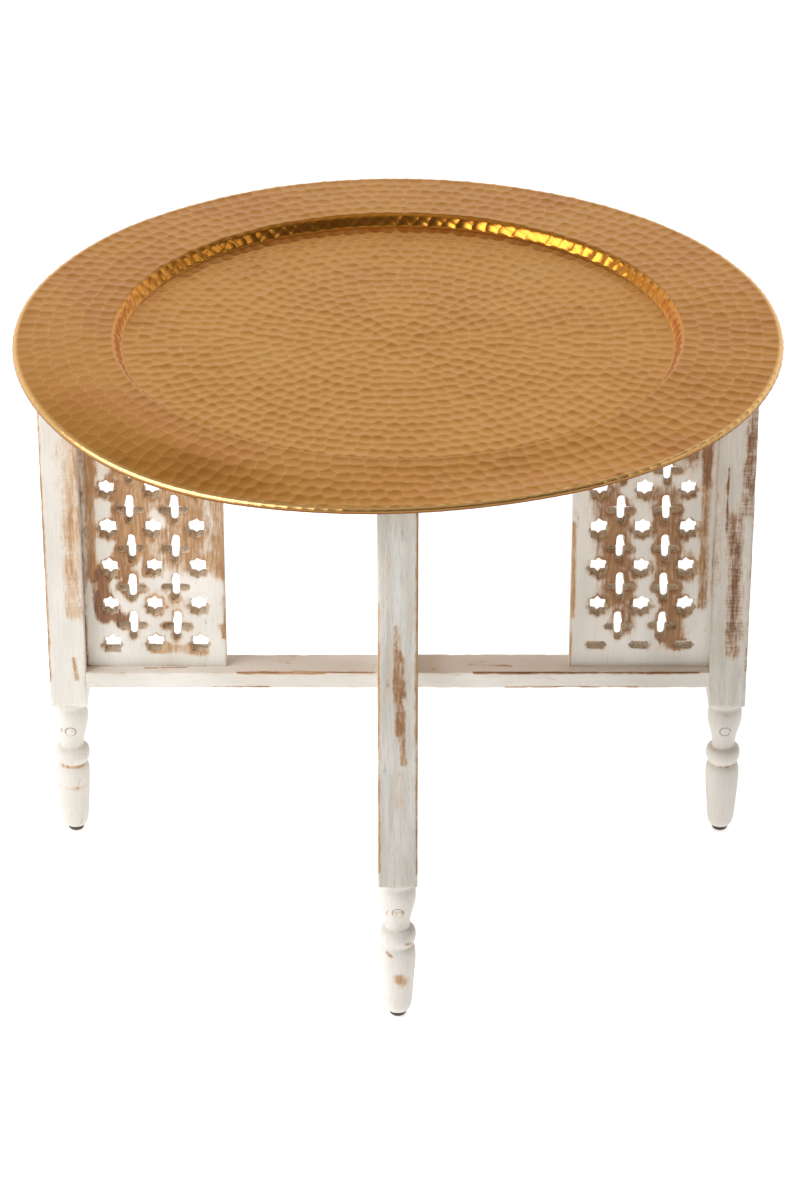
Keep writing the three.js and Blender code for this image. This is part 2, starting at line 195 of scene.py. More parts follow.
class Nodes:
    """A node tree being built, with a short call for each kind of node it uses."""

    def __init__(self, tree):
        self.tree = tree

    def put(self, socket, value):
        if isinstance(value, bpy.types.NodeSocket):
            self.tree.links.new(value, socket)
        else:
            socket.default_value = value

    def new(self, kind, inputs, **settings):
        """A node, with its settings, and its inputs by name or number."""
        node = self.tree.nodes.new(f"ShaderNode{kind}")
        for name, value in settings.items():
            setattr(node, name, value)
        for key, value in inputs.items():
            self.put(node.inputs[key], value)
        return node

    def maths(self, operation, first, second=0.0):
        return self.new("Math", {0: first, 1: second}, operation=operation).outputs[0]

    def add(self, *terms):
        total = terms[0]
        for term in terms[1:]:
            total = self.maths("ADD", total, term)
        return total

    def times(self, first, second):
        return self.maths("MULTIPLY", first, second)

    def noise(self, vector, scale, detail=3.0, rough=0.5, distortion=0.0):
        inputs = {"Vector": vector, "Scale": scale, "Detail": detail, "Roughness": rough}
        return self.new("TexNoise", {**inputs, "Distortion": distortion}).outputs["Fac"]

    def attribute(self, name):
        return self.new("Attribute", {}, attribute_name=name).outputs["Fac"]

    def fade(self, value, low, high, to_low=0.0, to_high=1.0):
        """`value` carried smoothly from low..high to to_low..to_high."""
        inputs = {"Value": value, "From Min": low, "From Max": high, "To Min": to_low, "To Max": to_high}
        return self.new("MapRange", inputs, interpolation_type="SMOOTHSTEP").outputs[0]

    def mix(self, amount, first, second):
        return self.new("Mix", {0: amount, 6: first, 7: second}, data_type="RGBA").outputs[2]

    def ramp(self, amount, stops):
        """Colours at places from 0 to 1; each stop is (place, colour)."""
        node = self.new("ValToRGB", {0: amount})
        elements = node.color_ramp.elements
        while len(elements) < len(stops):
            elements.new(0.5)
        for element, (position, colour) in zip(elements, stops):
            element.position = position
            element.color = colour
        return node.outputs[0]

    def even_ramp(self, amount, colours):
        return self.ramp(amount, [(k / (len(colours) - 1), colour) for k, colour in enumerate(colours)])

    def bump(self, height, distance):
        """Bump of `height`, 0 to 1, over `distance` millimetres."""
        return self.new("Bump", {"Strength": 1.0, "Distance": distance * MM, "Height": height}).outputs[0]


class Shading(Nodes):
    """A new material, with its surface and its coordinates in metres."""

    def __init__(self, name):
        self.material = bpy.data.materials.new(name)
        self.material.use_nodes = True
        super().__init__(self.material.node_tree)
        self.surface = self.tree.nodes["Principled BSDF"]
        self.place = self.new("TexCoord", {}).outputs["Object"]

    def set(self, name, value):
        self.put(self.surface.inputs[name], value)

    def stretch(self, axis, factor, shift):
        """The coordinates scaled along one axis and shifted."""
        scale = [1.0, 1.0, 1.0]
        scale[axis] = factor
        return self.new("Mapping", {"Vector": self.place, "Location": shift, "Scale": scale}).outputs[0]


# ---- Camera, light and floor ----

CAMERA_AT = (0.9, -2851.8, 1809.4)
CAMERA_PITCH = 29.17  # degrees below the horizon
CAMERA_LENS = 121.1
CAMERA_SENSOR = 36.0
ROOM_TINT = (1.0, 0.89, 0.76)
BACKDROP_STARTS = (0.05, 0.7)  # how far to the rear a direction points where the backdrop fades in
FLOOR_HALF = 6.0  # metres
FLOOR_GLOW = 0.68


def add_camera():
    data = bpy.data.cameras.new("camera")
    data.lens = CAMERA_LENS
    data.sensor_width = CAMERA_SENSOR
    camera = bpy.data.objects.new("camera", data)
    camera.location = Vector(CAMERA_AT) * MM
    camera.rotation_euler = (math.radians(90 - CAMERA_PITCH), 0, 0)
    bpy.context.scene.collection.objects.link(camera)
    bpy.context.scene.camera = camera


def add_softbox(name, at, target, size, power):
    data = bpy.data.lights.new(name, "AREA")
    data.shape = "RECTANGLE"
    data.size, data.size_y = [side * MM for side in size]
    data.energy = power
    light = bpy.data.objects.new(name, data)
    light.location = Vector(at) * MM
    light.rotation_euler = (Vector(target) - Vector(at)).to_track_quat("-Z", "Y").to_euler()
    bpy.context.scene.collection.objects.link(light)


def add_sky(backdrop, room, strength):
    """A studio sky: a pale backdrop beyond the table, and a darker room behind the camera.

    Each is a list of (height of the direction, grey), from the horizon up.
    """
    world = bpy.data.worlds.new("studio")
    bpy.context.scene.world = world
    world.use_nodes = True
    sky = Nodes(world.node_tree)
    parts = sky.new("SeparateXYZ", {0: sky.new("TexCoord", {}).outputs["Generated"]})
    greys = []
    for stops, tint in ((room, ROOM_TINT), (backdrop, (1, 1, 1))):
        tinted = [(height, (*[grey * part for part in tint], 1)) for height, grey in stops]
        greys.append(sky.ramp(parts.outputs["Z"], tinted))
    beyond = sky.fade(parts.outputs["Y"], *BACKDROP_STARTS)
    background = world.node_tree.nodes["Background"]
    sky.put(background.inputs["Color"], sky.mix(beyond, *greys))
    background.inputs["Strength"].default_value = strength


def add_floor():
    """A wide white floor with a little light of its own, so that it photographs as plain white."""
    mesh = bpy.data.meshes.new("floor")
    corners = [(x * FLOOR_HALF, y * FLOOR_HALF, 0) for x, y in ((-1, -1), (1, -1), (1, 1), (-1, 1))]
    mesh.from_pydata(corners, [], [(0, 1, 2, 3)])
    shading = Shading("studio_floor")
    shading.set("Base Color", (0.88, 0.88, 0.88, 1))
    shading.set("Roughness", 0.9)
    shading.set("Specular IOR Level", 0.0)
    shading.set("Emission Color", (1, 1, 1, 1))
    shading.set("Emission Strength", FLOOR_GLOW)
    mesh.materials.append(shading.material)
    floor = bpy.data.objects.new("floor", mesh)
    bpy.context.scene.collection.objects.link(floor)


add_camera()
bpy.context.scene.view_settings.view_transform = "Standard"
add_sky(
    backdrop=[(0.0, 0.7), (0.28, 0.94), (0.42, 0.93), (0.62, 0.58), (0.8, 0.34), (1.0, 0.5)],
    room=[(0.0, 0.7), (0.08, 0.58), (0.2, 0.16), (0.55, 0.055), (0.8, 0.12), (1.0, 0.5)],
    strength=1.2,
)
add_softbox("key", (-1250, -540, 1180), (0, 0, 330), (1500, 1050), 22.5)
add_softbox("fill", (1500, -150, 1250), (0, 0, 400), (600, 700), 1.6)
add_floor()


# ---- Brass ----

BRASSES = [srgb(174, 108, 38), srgb(200, 141, 60), srgb(210, 160, 92), srgb(222, 180, 130)]
WALL_BRASS = srgb(211, 139, 53)
# painted highlight: a paler brass on the lip, so that the key's reflection there reads pale cream
LIP_HIGHLIGHT_BRASS = srgb(236, 188, 120)
# painted shade: dark bronze along the bottom of the lip, in place of the floor's reflection there
HEM_SHADE_BRASS = srgb(128, 76, 34)


def hammered_brass():
    """Satin brass: painted highlight on the ridges between the blows and on the lip, the hollows darker and
    redder, painted shade along the bottom of the lip.
    """
    s = Shading("hammered_brass")
    ridge = s.attribute("ridge")
    wall = s.attribute("wall")
    lip = s.attribute("lip")
    cloud = s.noise(s.place, 14, 4, 0.55)
    speck = s.noise(s.place, 700, 2, 0.6)
    # painted highlight: tone rises near the ridges between the blows, so that they read as pale lines
    tone = s.add(
        s.times(ridge, 0.3),
        s.times(cloud, 0.55),
        s.times(speck, 0.14),
        s.times(s.attribute("rim"), -0.1),
        -0.06,
    )
    base = s.mix(wall, s.even_ramp(tone, BRASSES), WALL_BRASS)
    # the lip in the paler brass, a painted highlight
    base = s.mix(lip, base, LIP_HIGHLIGHT_BRASS)
    # painted shade darkens the bottom of the lip
    s.set("Base Color", s.mix(s.attribute("hem_shade"), base, HEM_SHADE_BRASS))
    s.set("Metallic", 1.0)
    dull = s.add(s.times(wall, -0.07), s.times(lip, -0.06), s.times(cloud, 0.12), 0.25)
    s.set("Roughness", s.add(dull, s.times(speck, 0.06)))
    fine = s.noise(s.place, 260, 3, 0.6)
    s.set("Normal", s.bump(fine, 0.05))
    return s.material


# ---- Painted wood ----

CREAM = srgb(236, 234, 229)
CREAM_GREY = srgb(219, 216, 209)
WASHED = srgb(213, 196, 174)
WOODS = [srgb(206, 171, 134), srgb(172, 130, 84), srgb(145, 99, 57), srgb(104, 61, 36)]
SAWN = srgb(215, 193, 158)
GREY_GRAIN = srgb(170, 167, 159)
# dark brown for dirt at joints, cracks, the ring round a peg and the end grain's rings, for the bottoms of
# the feet's grooves, and for painted shade on the walls of the holes
SOIL_AND_SHADE = srgb(98, 75, 54)
PEG_RING = (4.3, 0.5)  # radius and width of the joint that shows round a peg


def ring_mask(s, centre, radius, width):
    """1 on a thin ring about an axis along Y, in millimetres, broken up by noise."""
    parts = s.new("SeparateXYZ", {0: s.place})
    across = s.add(parts.outputs["X"], -centre[0] * MM)
    up = s.add(parts.outputs["Z"], -centre[2] * MM)
    reach = s.maths("SQRT", s.add(s.times(across, across), s.times(up, up)))
    off = s.maths("ABSOLUTE", s.add(reach, -radius * MM))
    broken = s.fade(s.noise(s.place, 300, 2, 0.5), 0.32, 0.46)
    return s.times(s.fade(off, width * 0.4 * MM, width * MM, 1.0, 0.0), broken)


def painted_wood(name, grain_axis, seed, edge_wear=0.35, saw_marks=0.0, grey=0.12, peg=None):
    """Cream paint worn through to brown wood, where `wear` and `edge` say and noise allows."""
    s = Shading(name)
    shift = (seed * 0.37, seed * 0.73, seed * 0.19)
    grain = s.stretch(grain_axis, 0.09, shift)
    loose = s.stretch(grain_axis, 0.4, shift)
    fibre = s.noise(grain, 620, 4, 0.62)
    grit = s.noise(loose, 520, 3, 0.6)
    band = s.noise(grain, 150, 3, 0.5)
    patch = s.noise(loose, 130, 5, 0.66, 0.4)
    cloud = s.noise(loose, 22, 2, 0.5)
    wear = s.attribute("wear")
    tint = s.attribute("tint")
    edge = s.attribute("edge")
    soil = s.attribute("soil")
    wall = s.attribute("wall")

    saw = s.noise(s.stretch(grain_axis, 9.0, shift), 70, 2, 0.5)
    ragged = s.add(s.times(patch, 0.9), s.times(fibre, 0.6), s.times(grit, 0.4), s.times(saw, saw_marks))
    ragged = s.add(ragged, -0.95 - 0.5 * saw_marks)
    worn_edge = s.times(edge, s.fade(cloud, 0.38, 0.62, edge_wear * 0.3, edge_wear * 1.7))
    amount = s.add(wear, worn_edge, ragged)
    bare = s.fade(amount, 0.34, 0.86, 0.0, 0.92)
    washed = s.fade(amount, 0.08, 0.56)

    shade = s.add(tint, s.times(fibre, 1.2), s.times(band, 0.7), -0.88)
    wood = s.even_ramp(shade, WOODS)
    paint = s.mix(s.fade(cloud, 0.3, 0.7), CREAM, CREAM_GREY)
    paint = s.mix(s.fade(band, 0.3, 0.75, 0.2 * grey, 0.6 * grey), paint, GREY_GRAIN)
    paint = s.mix(s.times(s.fade(fibre, 0.46, 0.7), 0.1 + 0.35 * grey), paint, GREY_GRAIN)
    coat = s.mix(s.times(washed, 0.6), paint, WASHED)
    coat = s.mix(s.times(wall, 0.65), coat, SAWN)
    colour = s.mix(bare, coat, wood)
    hair = s.maths("ABSOLUTE", s.maths("SUBTRACT", s.noise(grain, 75, 2, 0.5), 0.5))
    crack = s.times(s.fade(hair, 0.0, 0.006, 1.0, 0.0), s.fade(patch, 0.52, 0.66))
    dark = s.maths("MAXIMUM", s.times(crack, 0.5), s.fade(s.add(soil, s.times(patch, 0.5)), 0.65, 0.95))
    # painted shade: dark brown patches, broken up by noise, on the walls of the holes and at half strength
    # on their eased rims
    wall_shade_mottle = s.fade(s.add(grit, s.times(patch, 0.6)), 0.74, 0.97, 0.02, 0.5)
    dark = s.maths("MAXIMUM", dark, s.times(wall, wall_shade_mottle))
    if peg is not None:
        dark = s.maths("MAXIMUM", dark, s.times(ring_mask(s, peg, *PEG_RING), 0.9))
    s.set("Base Color", s.mix(dark, colour, SOIL_AND_SHADE))
    s.set("Roughness", s.fade(bare, 0.0, 1.0, 0.62, 0.8))
    s.set("Specular IOR Level", 0.35)
    height = s.add(s.times(bare, -0.5), s.times(fibre, 0.5), s.times(dark, -0.4))
    s.set("Normal", s.bump(s.add(height, s.times(saw, saw_marks)), 0.35))
    return s.material


def plain(name, colour, roughness, metallic, fleck=0.08, scale=400):
    """A simple finish with a little variation in tone, gloss and surface."""
    s = Shading(name)
    speck = s.noise(s.place, scale, 4, 0.6)
    darker = tuple(c * 0.55 for c in colour[:3]) + (1.0,)
    s.set("Base Color", s.mix(s.fade(speck, 0.3, 0.8), colour, darker))
    s.set("Metallic", metallic)
    s.set("Roughness", s.add(s.times(speck, fleck), roughness))
    s.set("Normal", s.bump(speck, 0.05))
    return s.material


# ---- Wear ----

FACES = {"-x": (0, -1), "+x": (0, 1), "-y": (1, -1), "+y": (1, 1), "-z": (2, -1), "+z": (2, 1)}


def face_coordinates(points, face):
    """Each point's two coordinates on a face: x or y, then z; or x and y on top and below."""
    axis = FACES[face][0]
    return np.delete(points, axis, axis=1)


def on_face(face, rows):
    """Strokes on one face. A row is start and end (see face_coordinates), width, strength, tint."""
    return [(face, row[:2], row[2:4], *row[4:]) for row in rows]


def brush(points, normals, strokes):
    """Wear and tint of every vertex. A stroke is (face, start, end, width, strength, tint).

    A stroke of negative strength is paint that has stayed on.
    """
    wear = np.zeros(len(points))
    tint = np.full(len(points), 0.35)
    for face, start, end, width, strength, shade in strokes:
        axis, sign = FACES[face]
        facing = smoothstep(normals[:, axis] * sign, 0.2, 0.7)
        flat = face_coordinates(points, face)
        start = np.array(start, dtype=float)
        way = np.array(end, dtype=float) - start
        t = np.clip(((flat - start) @ way) / max(way @ way, 1e-9), 0, 1)
        distance = np.linalg.norm(flat - start - t[:, None] * way, axis=1)
        fall = strength * facing * smoothstep(distance, width * 1.5, width * 0.35)
        tint = np.where(fall > wear, shade, tint)
        wear = np.where(strength < 0, np.maximum(wear + fall, 0), np.maximum(wear, fall))
    return wear, tint


def stray_strokes(rng, low, high, faces, count, grain_axis):
    """Random wear on the faces that nobody looks at first, long in the direction of the grain."""
    strokes = []
    for _ in range(count):
        face = faces[rng.integers(len(faces))]
        at = face_coordinates(rng.uniform(low, high)[None], face)[0]
        length = face_coordinates(np.eye(3)[grain_axis][None], face)[0] * rng.uniform(10, 60)
        width = rng.uniform(1.5, 6)
        strokes.append((face, at, at + length, width, rng.uniform(0.3, 0.75), rng.uniform(0, 0.6)))
    return strokes


def finish_wood(piece, strokes, edge, soil=None, wall=None):
    points, normals = vertex_arrays(piece)
    wear, tint = brush(points, normals, strokes)
    set_attribute(piece, "wear", wear)
    set_attribute(piece, "tint", tint)
    set_attribute(piece, "edge", edge)
    set_attribute(piece, "soil", np.zeros(len(points)) if soil is None else soil(points))
    set_attribute(piece, "wall", np.zeros(len(points)) if wall is None else wall)


# ---- Tray ----

WELL_RADIUS = 221.5
WELL_FLOOR_RADIUS = 216
WELL_DEPTH = 9
RIM_FALL = 1.3
SHEET = 1.2
FOLD = 1.2  # how far each side of a fold its rounding reaches
ARRIS_FOLD = 3.2
LIP_BEND = 3.3
RIM_DROOP = 8.0
DROOP_AT = (228, 28)  # direction and width of the droop, in degrees
RIM_RISE = 3.0
RISE_AT = (292, 22)
SWAY_GAIN = 1.35
SWAY_FROM = 250  # radius where the rim begins to sway
SWAY_FULL = 25  # how far past the rim's edge the sway would be at its full height
TRAY_RADIUS = TRAY_HIGH[0]
TRAY_TOP = TRAY_HIGH[2]
LIP_DROP = 3.8
LIP_BOTTOM = TRAY_TOP - RIM_FALL - LIP_DROP

# Rings of blows, each zone measured along the sheet from the middle of the tray:
# first and last millimetre, distance between rings, distance along a ring, radius of the
# hollow one blow leaves, and how far two hollows run into each other at the ridge
FLOOR_BLOWS = (0, 214.5, 11.2, 11.4, 38, 0.045)
WALL_BLOWS = (216.5, 226.3, 5.0, 12.0, 24, 0.012)
RIM_BLOWS = (227.5, 300.5, 11.6, 12.4, 47, 0.07)
LIP_BLOWS = (301.5, 307, 6, 10.5, 40, 0.012)
BLOW_SEED = 11  # one for both sides, so that the hollows above lie over those below
BLOW_SCATTER = 0.035  # how unevenly deep the blows are
BLOW_FADE = 0.8
LIGHT_BLOWS = 0.7  # how much of a blow's depth is missing where they were struck lightest
LIGHT_AT = (212, 34)


def upper_profile():
    """Radius and height down the tray's upper side, from the middle to the bottom of the lip."""
    middle = (0, TRAY_TOP - WELL_DEPTH)
    foot = (WELL_FLOOR_RADIUS, TRAY_TOP - WELL_DEPTH)
    arris = (WELL_RADIUS, TRAY_TOP)
    rim = (TRAY_RADIUS, TRAY_TOP - RIM_FALL)
    lip = (TRAY_RADIUS, LIP_BOTTOM)
    parts = [
        np.array([middle]),
        line(middle, toward(foot, middle, FOLD), 134),
        bend(toward(foot, middle, FOLD), foot, toward(foot, arris, FOLD), 3),
        line(toward(foot, arris, FOLD), toward(arris, foot, ARRIS_FOLD), 9),
        bend(toward(arris, foot, ARRIS_FOLD), arris, toward(arris, rim, ARRIS_FOLD), 5),
        line(toward(arris, rim, ARRIS_FOLD), toward(rim, arris, LIP_BEND), 50),
        bend(toward(rim, arris, LIP_BEND), rim, toward(rim, lip, LIP_BEND), 6),
        line(toward(rim, lip, LIP_BEND), lip, 1),
    ]
    return np.concatenate(parts)


def under_profile():
    """The same for the underside, from the middle to the inside bottom of the lip."""
    middle = (0, TRAY_TOP - WELL_DEPTH - SHEET)
    foot = (WELL_FLOOR_RADIUS + SHEET * 0.45, TRAY_TOP - WELL_DEPTH - SHEET)
    arris = (WELL_RADIUS + SHEET * 0.75, TRAY_TOP - SHEET)
    rim = (TRAY_RADIUS - LIP_BEND, TRAY_TOP - RIM_FALL - SHEET)
    lip = (TRAY_RADIUS - SHEET, LIP_BOTTOM)
    parts = [
        np.array([middle]),
        line(middle, foot, 76),
        line(foot, arris, 6),
        line(arris, rim, 32),
        line(rim, lip, 2),
    ]
    return np.concatenate(parts)


def ring_start(ring):
    return 1 + 4 * ring * (ring - 1) if ring else 0


def disc_points(profile):
    """Radius, height, angle and ring number of a disc's points: ring k has 8k of them."""
    ring = np.concatenate([[0], *[np.full(8 * k, k) for k in range(1, len(profile))]])
    angle = np.concatenate([[0], *[np.arange(8 * k) * TURN / (8 * k) for k in range(1, len(profile))]])
    return profile[ring, 0], profile[ring, 1], angle, ring


def disc_quads(ring_count):
    """Four-sided faces between the rings of such a disc, facing up."""
    quads = []
    for k in range(1, ring_count):
        outer, inner = ring_start(k), ring_start(k - 1)
        inner_size = max(8 * (k - 1), 1)
        for side in range(4):
            step = np.arange(1, 2 * k - 1)
            out = 2 * k * side + step
            within = 2 * (k - 1) * side + step
            corners = [
                inner + (within - 1) % inner_size,
                outer + out % (8 * k),
                outer + (out + 1) % (8 * k),
                inner + within % inner_size,
            ]
            quads.append(np.stack(corners, axis=1))
            turn = 2 * k * side
            corner = [
                inner + (2 * (k - 1) * side) % inner_size,
                outer + (turn - 1) % (8 * k),
                outer + turn,
                outer + turn + 1,
            ]
            quads.append(np.array([corner]))
    return np.concatenate(quads)


def blow_centres(rng, first, last, pitch, spacing):
    """Middles of the blows in one zone, ring by ring, none quite in place."""
    rings = max(1, round((last - first) / pitch))
    centres = []
    for k in range(rings):
        radius = first + (k + 0.5) * (last - first) / rings
        count = max(1, round(TURN * radius / spacing))
        start = rng.uniform(0, TURN)
        for j in range(count):
            angle = start + (j + rng.uniform(-0.2, 0.2)) * TURN / count
            out = radius + rng.uniform(-0.17, 0.17) * pitch
            centres.append((out * math.cos(angle), out * math.sin(angle)))
    return centres


def hammer(along, angle, zones):
    """Height of the hammered surface at each point, and how near a ridge the point is."""
    rng = np.random.default_rng(BLOW_SEED)
    height = np.zeros(len(along))
    ridge = np.zeros(len(along))
    for first, last, pitch, spacing, hollow, softness in zones:
        centres = blow_centres(rng, first, last, pitch, spacing)
        depth = rng.normal(0, BLOW_SCATTER, len(centres))
        tree = KDTree(len(centres))
        for k, (x, y) in enumerate(centres):
            tree.insert((x, y, 0), k)
        tree.balance()
        chosen = np.nonzero((along >= first - 1) & (along <= last + 1))[0]
        nearest = min(4, len(centres))
        levels = np.empty((len(chosen), nearest))
        for row, k in enumerate(chosen):
            at = (along[k] * math.cos(angle[k]), along[k] * math.sin(angle[k]), 0)
            for column, (_, mark, distance) in enumerate(tree.find_n(at, nearest)):
                levels[row, column] = distance * distance / (2 * hollow) + depth[mark]
        levels.sort(axis=1)
        soft = levels[:, 0] - softness * np.log1p(np.exp(-(levels[:, 1] - levels[:, 0]) / softness))
        fade = smoothstep(along[chosen], last + BLOW_FADE, last - BLOW_FADE)
        if first > 0:
            fade *= smoothstep(along[chosen], first - BLOW_FADE, first + BLOW_FADE)
        mean = (spacing / 2) ** 2 / (4 * hollow)
        height[chosen] = (soft - mean) * fade
        ridge[chosen] = np.exp(-(levels[:, 1] - levels[:, 0]) / 0.1) * fade
    return height, ridge


def around(angle, centre, width):
    """1 in one direction, fading smoothly to 0 on both sides; centre and width in degrees."""
    off = (angle - math.radians(centre) + math.pi) % TURN - math.pi
    return np.exp(-((off / math.radians(width)) ** 2))


def rim_sway(angle):
    """How far the rim's edge stands above true: it droops at the front left."""
    return RIM_RISE * around(angle, *RISE_AT) - RIM_DROOP * around(angle, *DROOP_AT)


def disc_surface(profile, zones):
    """Points of one side of the tray, hammered along its own normal, with each point's ridge."""
    radius, height, angle, ring = disc_points(profile)
    steps = np.linalg.norm(np.diff(profile, axis=0), axis=1)
    along = np.concatenate([[0], np.cumsum(steps)])
    slope = np.gradient(profile, along, axis=0)
    blow, ridge = hammer(along[ring], angle, zones)
    lighter = around(angle, *LIGHT_AT) * smoothstep(radius, 225, 245) * smoothstep(radius, 303, 300)
    blow *= 1 - LIGHT_BLOWS * lighter
    radius = radius - slope[ring, 1] * blow
    height = height + slope[ring, 0] * blow
    flat = np.stack([radius * np.cos(angle), radius * np.sin(angle), np.zeros(len(radius))], axis=1)
    reach = smoothstep(radius, 40, TRAY_RADIUS)
    height = height + waves(flat, 5, 420) * 0.4 * reach + waves(flat, 6, 95) * 0.16
    height = height + rim_sway(angle) * smoothstep(radius, SWAY_FROM, TRAY_RADIUS + SWAY_FULL) * SWAY_GAIN
    points = np.stack([radius * np.cos(angle), radius * np.sin(angle), height], axis=1)
    return points, ridge, along[ring]


def bridge(outer_start, outer_size, inner_start, inner_size):
    """Triangles between two rings of different sizes round the same axis, facing down."""
    faces = []
    i = j = 0
    while i < outer_size or j < inner_size:
        if i * inner_size <= j * outer_size and i < outer_size:
            faces.append((outer_start + i, inner_start + j % inner_size, outer_start + (i + 1) % outer_size))
            i += 1
        else:
            faces.append((outer_start + i % outer_size, inner_start + j, inner_start + (j + 1) % inner_size))
            j += 1
    return faces


def add_tray():
    top = upper_profile()
    under = under_profile()
    top_points, top_ridge, along = disc_surface(top, [FLOOR_BLOWS, WALL_BLOWS, RIM_BLOWS, LIP_BLOWS])
    under_points, under_ridge, _ = disc_surface(under, [FLOOR_BLOWS, RIM_BLOWS])
    offset = len(top_points)
    faces = disc_quads(len(top)).tolist()
    faces += (disc_quads(len(under))[:, ::-1] + offset).tolist()
    last_top, last_under = len(top) - 1, len(under) - 1
    faces += bridge(ring_start(last_top), 8 * last_top, offset + ring_start(last_under), 8 * last_under)
    points = np.concatenate([top_points, under_points])
    piece = make_piece("tray", "hammered", points, faces, hammered_brass())
    beneath = np.zeros(len(under_points))
    zones = {
        "wall": smoothstep(along, 215.2, 216.8) * smoothstep(along, 227.2, 225.8),
        "rim": smoothstep(along, 226, 228),
        "lip": smoothstep(along, 299.5, 302.5),
        # the bottom of the lip, where the painted shade goes
        "hem_shade": smoothstep(along, along.max() - 2.2, along.max() - 0.8),
    }
    set_attribute(piece, "ridge", np.concatenate([top_ridge, under_ridge]))
    for name, values in zones.items():
        set_attribute(piece, name, np.concatenate([values, beneath]))


add_tray()


# ---- Posts and rails ----

GRID = 1.9  # spacing of the points on a bar's faces
# How far each post stops short of its CAD top, to keep clear of the hammered underside
POST_GAPS = {"left_post": 1.5, "right_post": 1.1, "front_post": 2.1, "rear_post": 1.1}


def section(half_u, half_v, bevel):
    """Outline of a rectangular bar with eased corners, counter-clockwise."""
    corners = [(half_u, -half_v), (half_u, half_v), (-half_u, half_v), (-half_u, -half_v)]
    outline = []
    for k, corner in enumerate(corners):
        before, after = corners[k - 1], corners[(k + 1) % 4]
        ease_in, ease_out = toward(corner, before, bevel), toward(corner, after, bevel)
        outline.append([ease_in])
        outline.append(bend(ease_in, corner, ease_out, 3))
        side = np.linalg.norm(np.array(after) - np.array(corner)) - 2 * bevel
        count = max(2, round(side / GRID))
        outline.append(line(ease_out, toward(after, corner, bevel), count)[:-1])
    return np.concatenate(outline)


def bar(low, high, axis, bevel):
    """Points and faces of a bar between two corners, and each point's distance to an edge."""
    centre, half = (low + high) / 2, (high - low) / 2
    u, v = (axis + 1) % 3, (axis + 2) % 3
    full = section(half[u], half[v], bevel)
    length = high[axis] - low[axis]
    inner = [low[axis] + bevel + s for s in np.linspace(0, length - 2 * bevel, round(length / GRID))]
    ease = bevel * 0.35
    near = [(low[axis], 14), (low[axis], 7), (low[axis], bevel), (low[axis] + ease, ease)]
    far = [(high[axis] - ease, ease), (high[axis], bevel), (high[axis], 7), (high[axis], 14)]
    rings = []
    for at, inset in [*near, *[(at, 0) for at in inner], *far]:
        scale = np.array([max(half[u] - inset, 0.4) / half[u], max(half[v] - inset, 0.4) / half[v]])
        ring = np.zeros((len(full), 3))
        ring[:, u] = centre[u] + full[:, 0] * scale[0]
        ring[:, v] = centre[v] + full[:, 1] * scale[1]
        ring[:, axis] = at
        rings.append(ring)
    points, faces = skin(rings)
    gaps = np.sort(half - np.abs(points - centre), axis=1)
    return points, faces, gaps[:, 1]


def roughen(points, gap, seed):
    """A sawn and hand-sanded surface: faces not quite flat, edges rubbed unevenly."""
    centre = points.mean(axis=0)
    inward = centre - points
    inward[:, np.argmax(np.ptp(points, axis=0))] = 0
    inward /= np.maximum(np.linalg.norm(inward, axis=1), 1)[:, None]
    edge = np.exp(-gap / 1.2)
    bite = edge * smoothstep(waves(points, seed, 26) + 0.5 * waves(points, seed + 1, 9), -0.2, 1.6) * 0.9
    sway = waves(points, seed + 2, 130) * 0.12 + waves(points, seed + 3, 30) * 0.05
    return points + inward * (bite + sway)[:, None]


def add_bar(node, low, high, axis, bevel, seed, strokes, saw_marks=0.0, turned=False, soil=None, grey=0.12):
    points, faces, gap = bar(low, high, axis, bevel)
    points = roughen(points, gap, seed)
    grain_axis = axis
    if turned:
        points = quarter_turn(points)
        grain_axis = {0: 1, 1: 0, 2: 2}[axis]
    material = painted_wood(f"{node}_paint", grain_axis, seed, saw_marks=saw_marks, grey=grey)
    piece = make_piece(node, "painted", points, faces, material)
    rng = np.random.default_rng(seed)
    seen = {stroke[0] for stroke in strokes}
    others = [face for face in ("-x", "+x", "-y", "+y") if face not in seen]
    if others:
        box_low, box_high = points.min(axis=0), points.max(axis=0)
        strokes = strokes + stray_strokes(rng, box_low, box_high, others, 9, grain_axis)
    finish_wood(piece, strokes, np.exp(-gap / 1.5), soil)
    return piece


LEFT_POST_WEAR = on_face("-y", [
    (-259, 372, -261, 300, 7.0, 0.56, 0.0), (-260, 305, -262, 215, 8.5, 0.64, 0.02),
    (-260, 330, -262, 245, 3.6, 0.76, 0.1), (-263, 171, -261, 152, 2.6, 0.66, 0.3),
    (-283, 400, -283, 150, 0.9, 0.55, 0.4), (-270, 380, -269, 330, 5, 0.25, 0.2),
])
RIGHT_POST_WEAR = on_face("-y", [
    (280, 398, 278, 305, 7.0, 0.58, 0.7), (279, 375, 277, 330, 4.5, 0.7, 0.75),
    (269, 300, 272, 178, 8.5, 0.62, 0.65), (270, 285, 272, 200, 5.0, 0.76, 0.72),
    (262, 345, 262.5, 285, 0.8, 0.8, 0.85), (272, 310, 270, 260, 7, 0.36, 0.5),
    (259, 330, 258, 240, 4, 0.3, 0.5), (283, 420, 283, 160, 0.9, 0.45, 0.5),
])
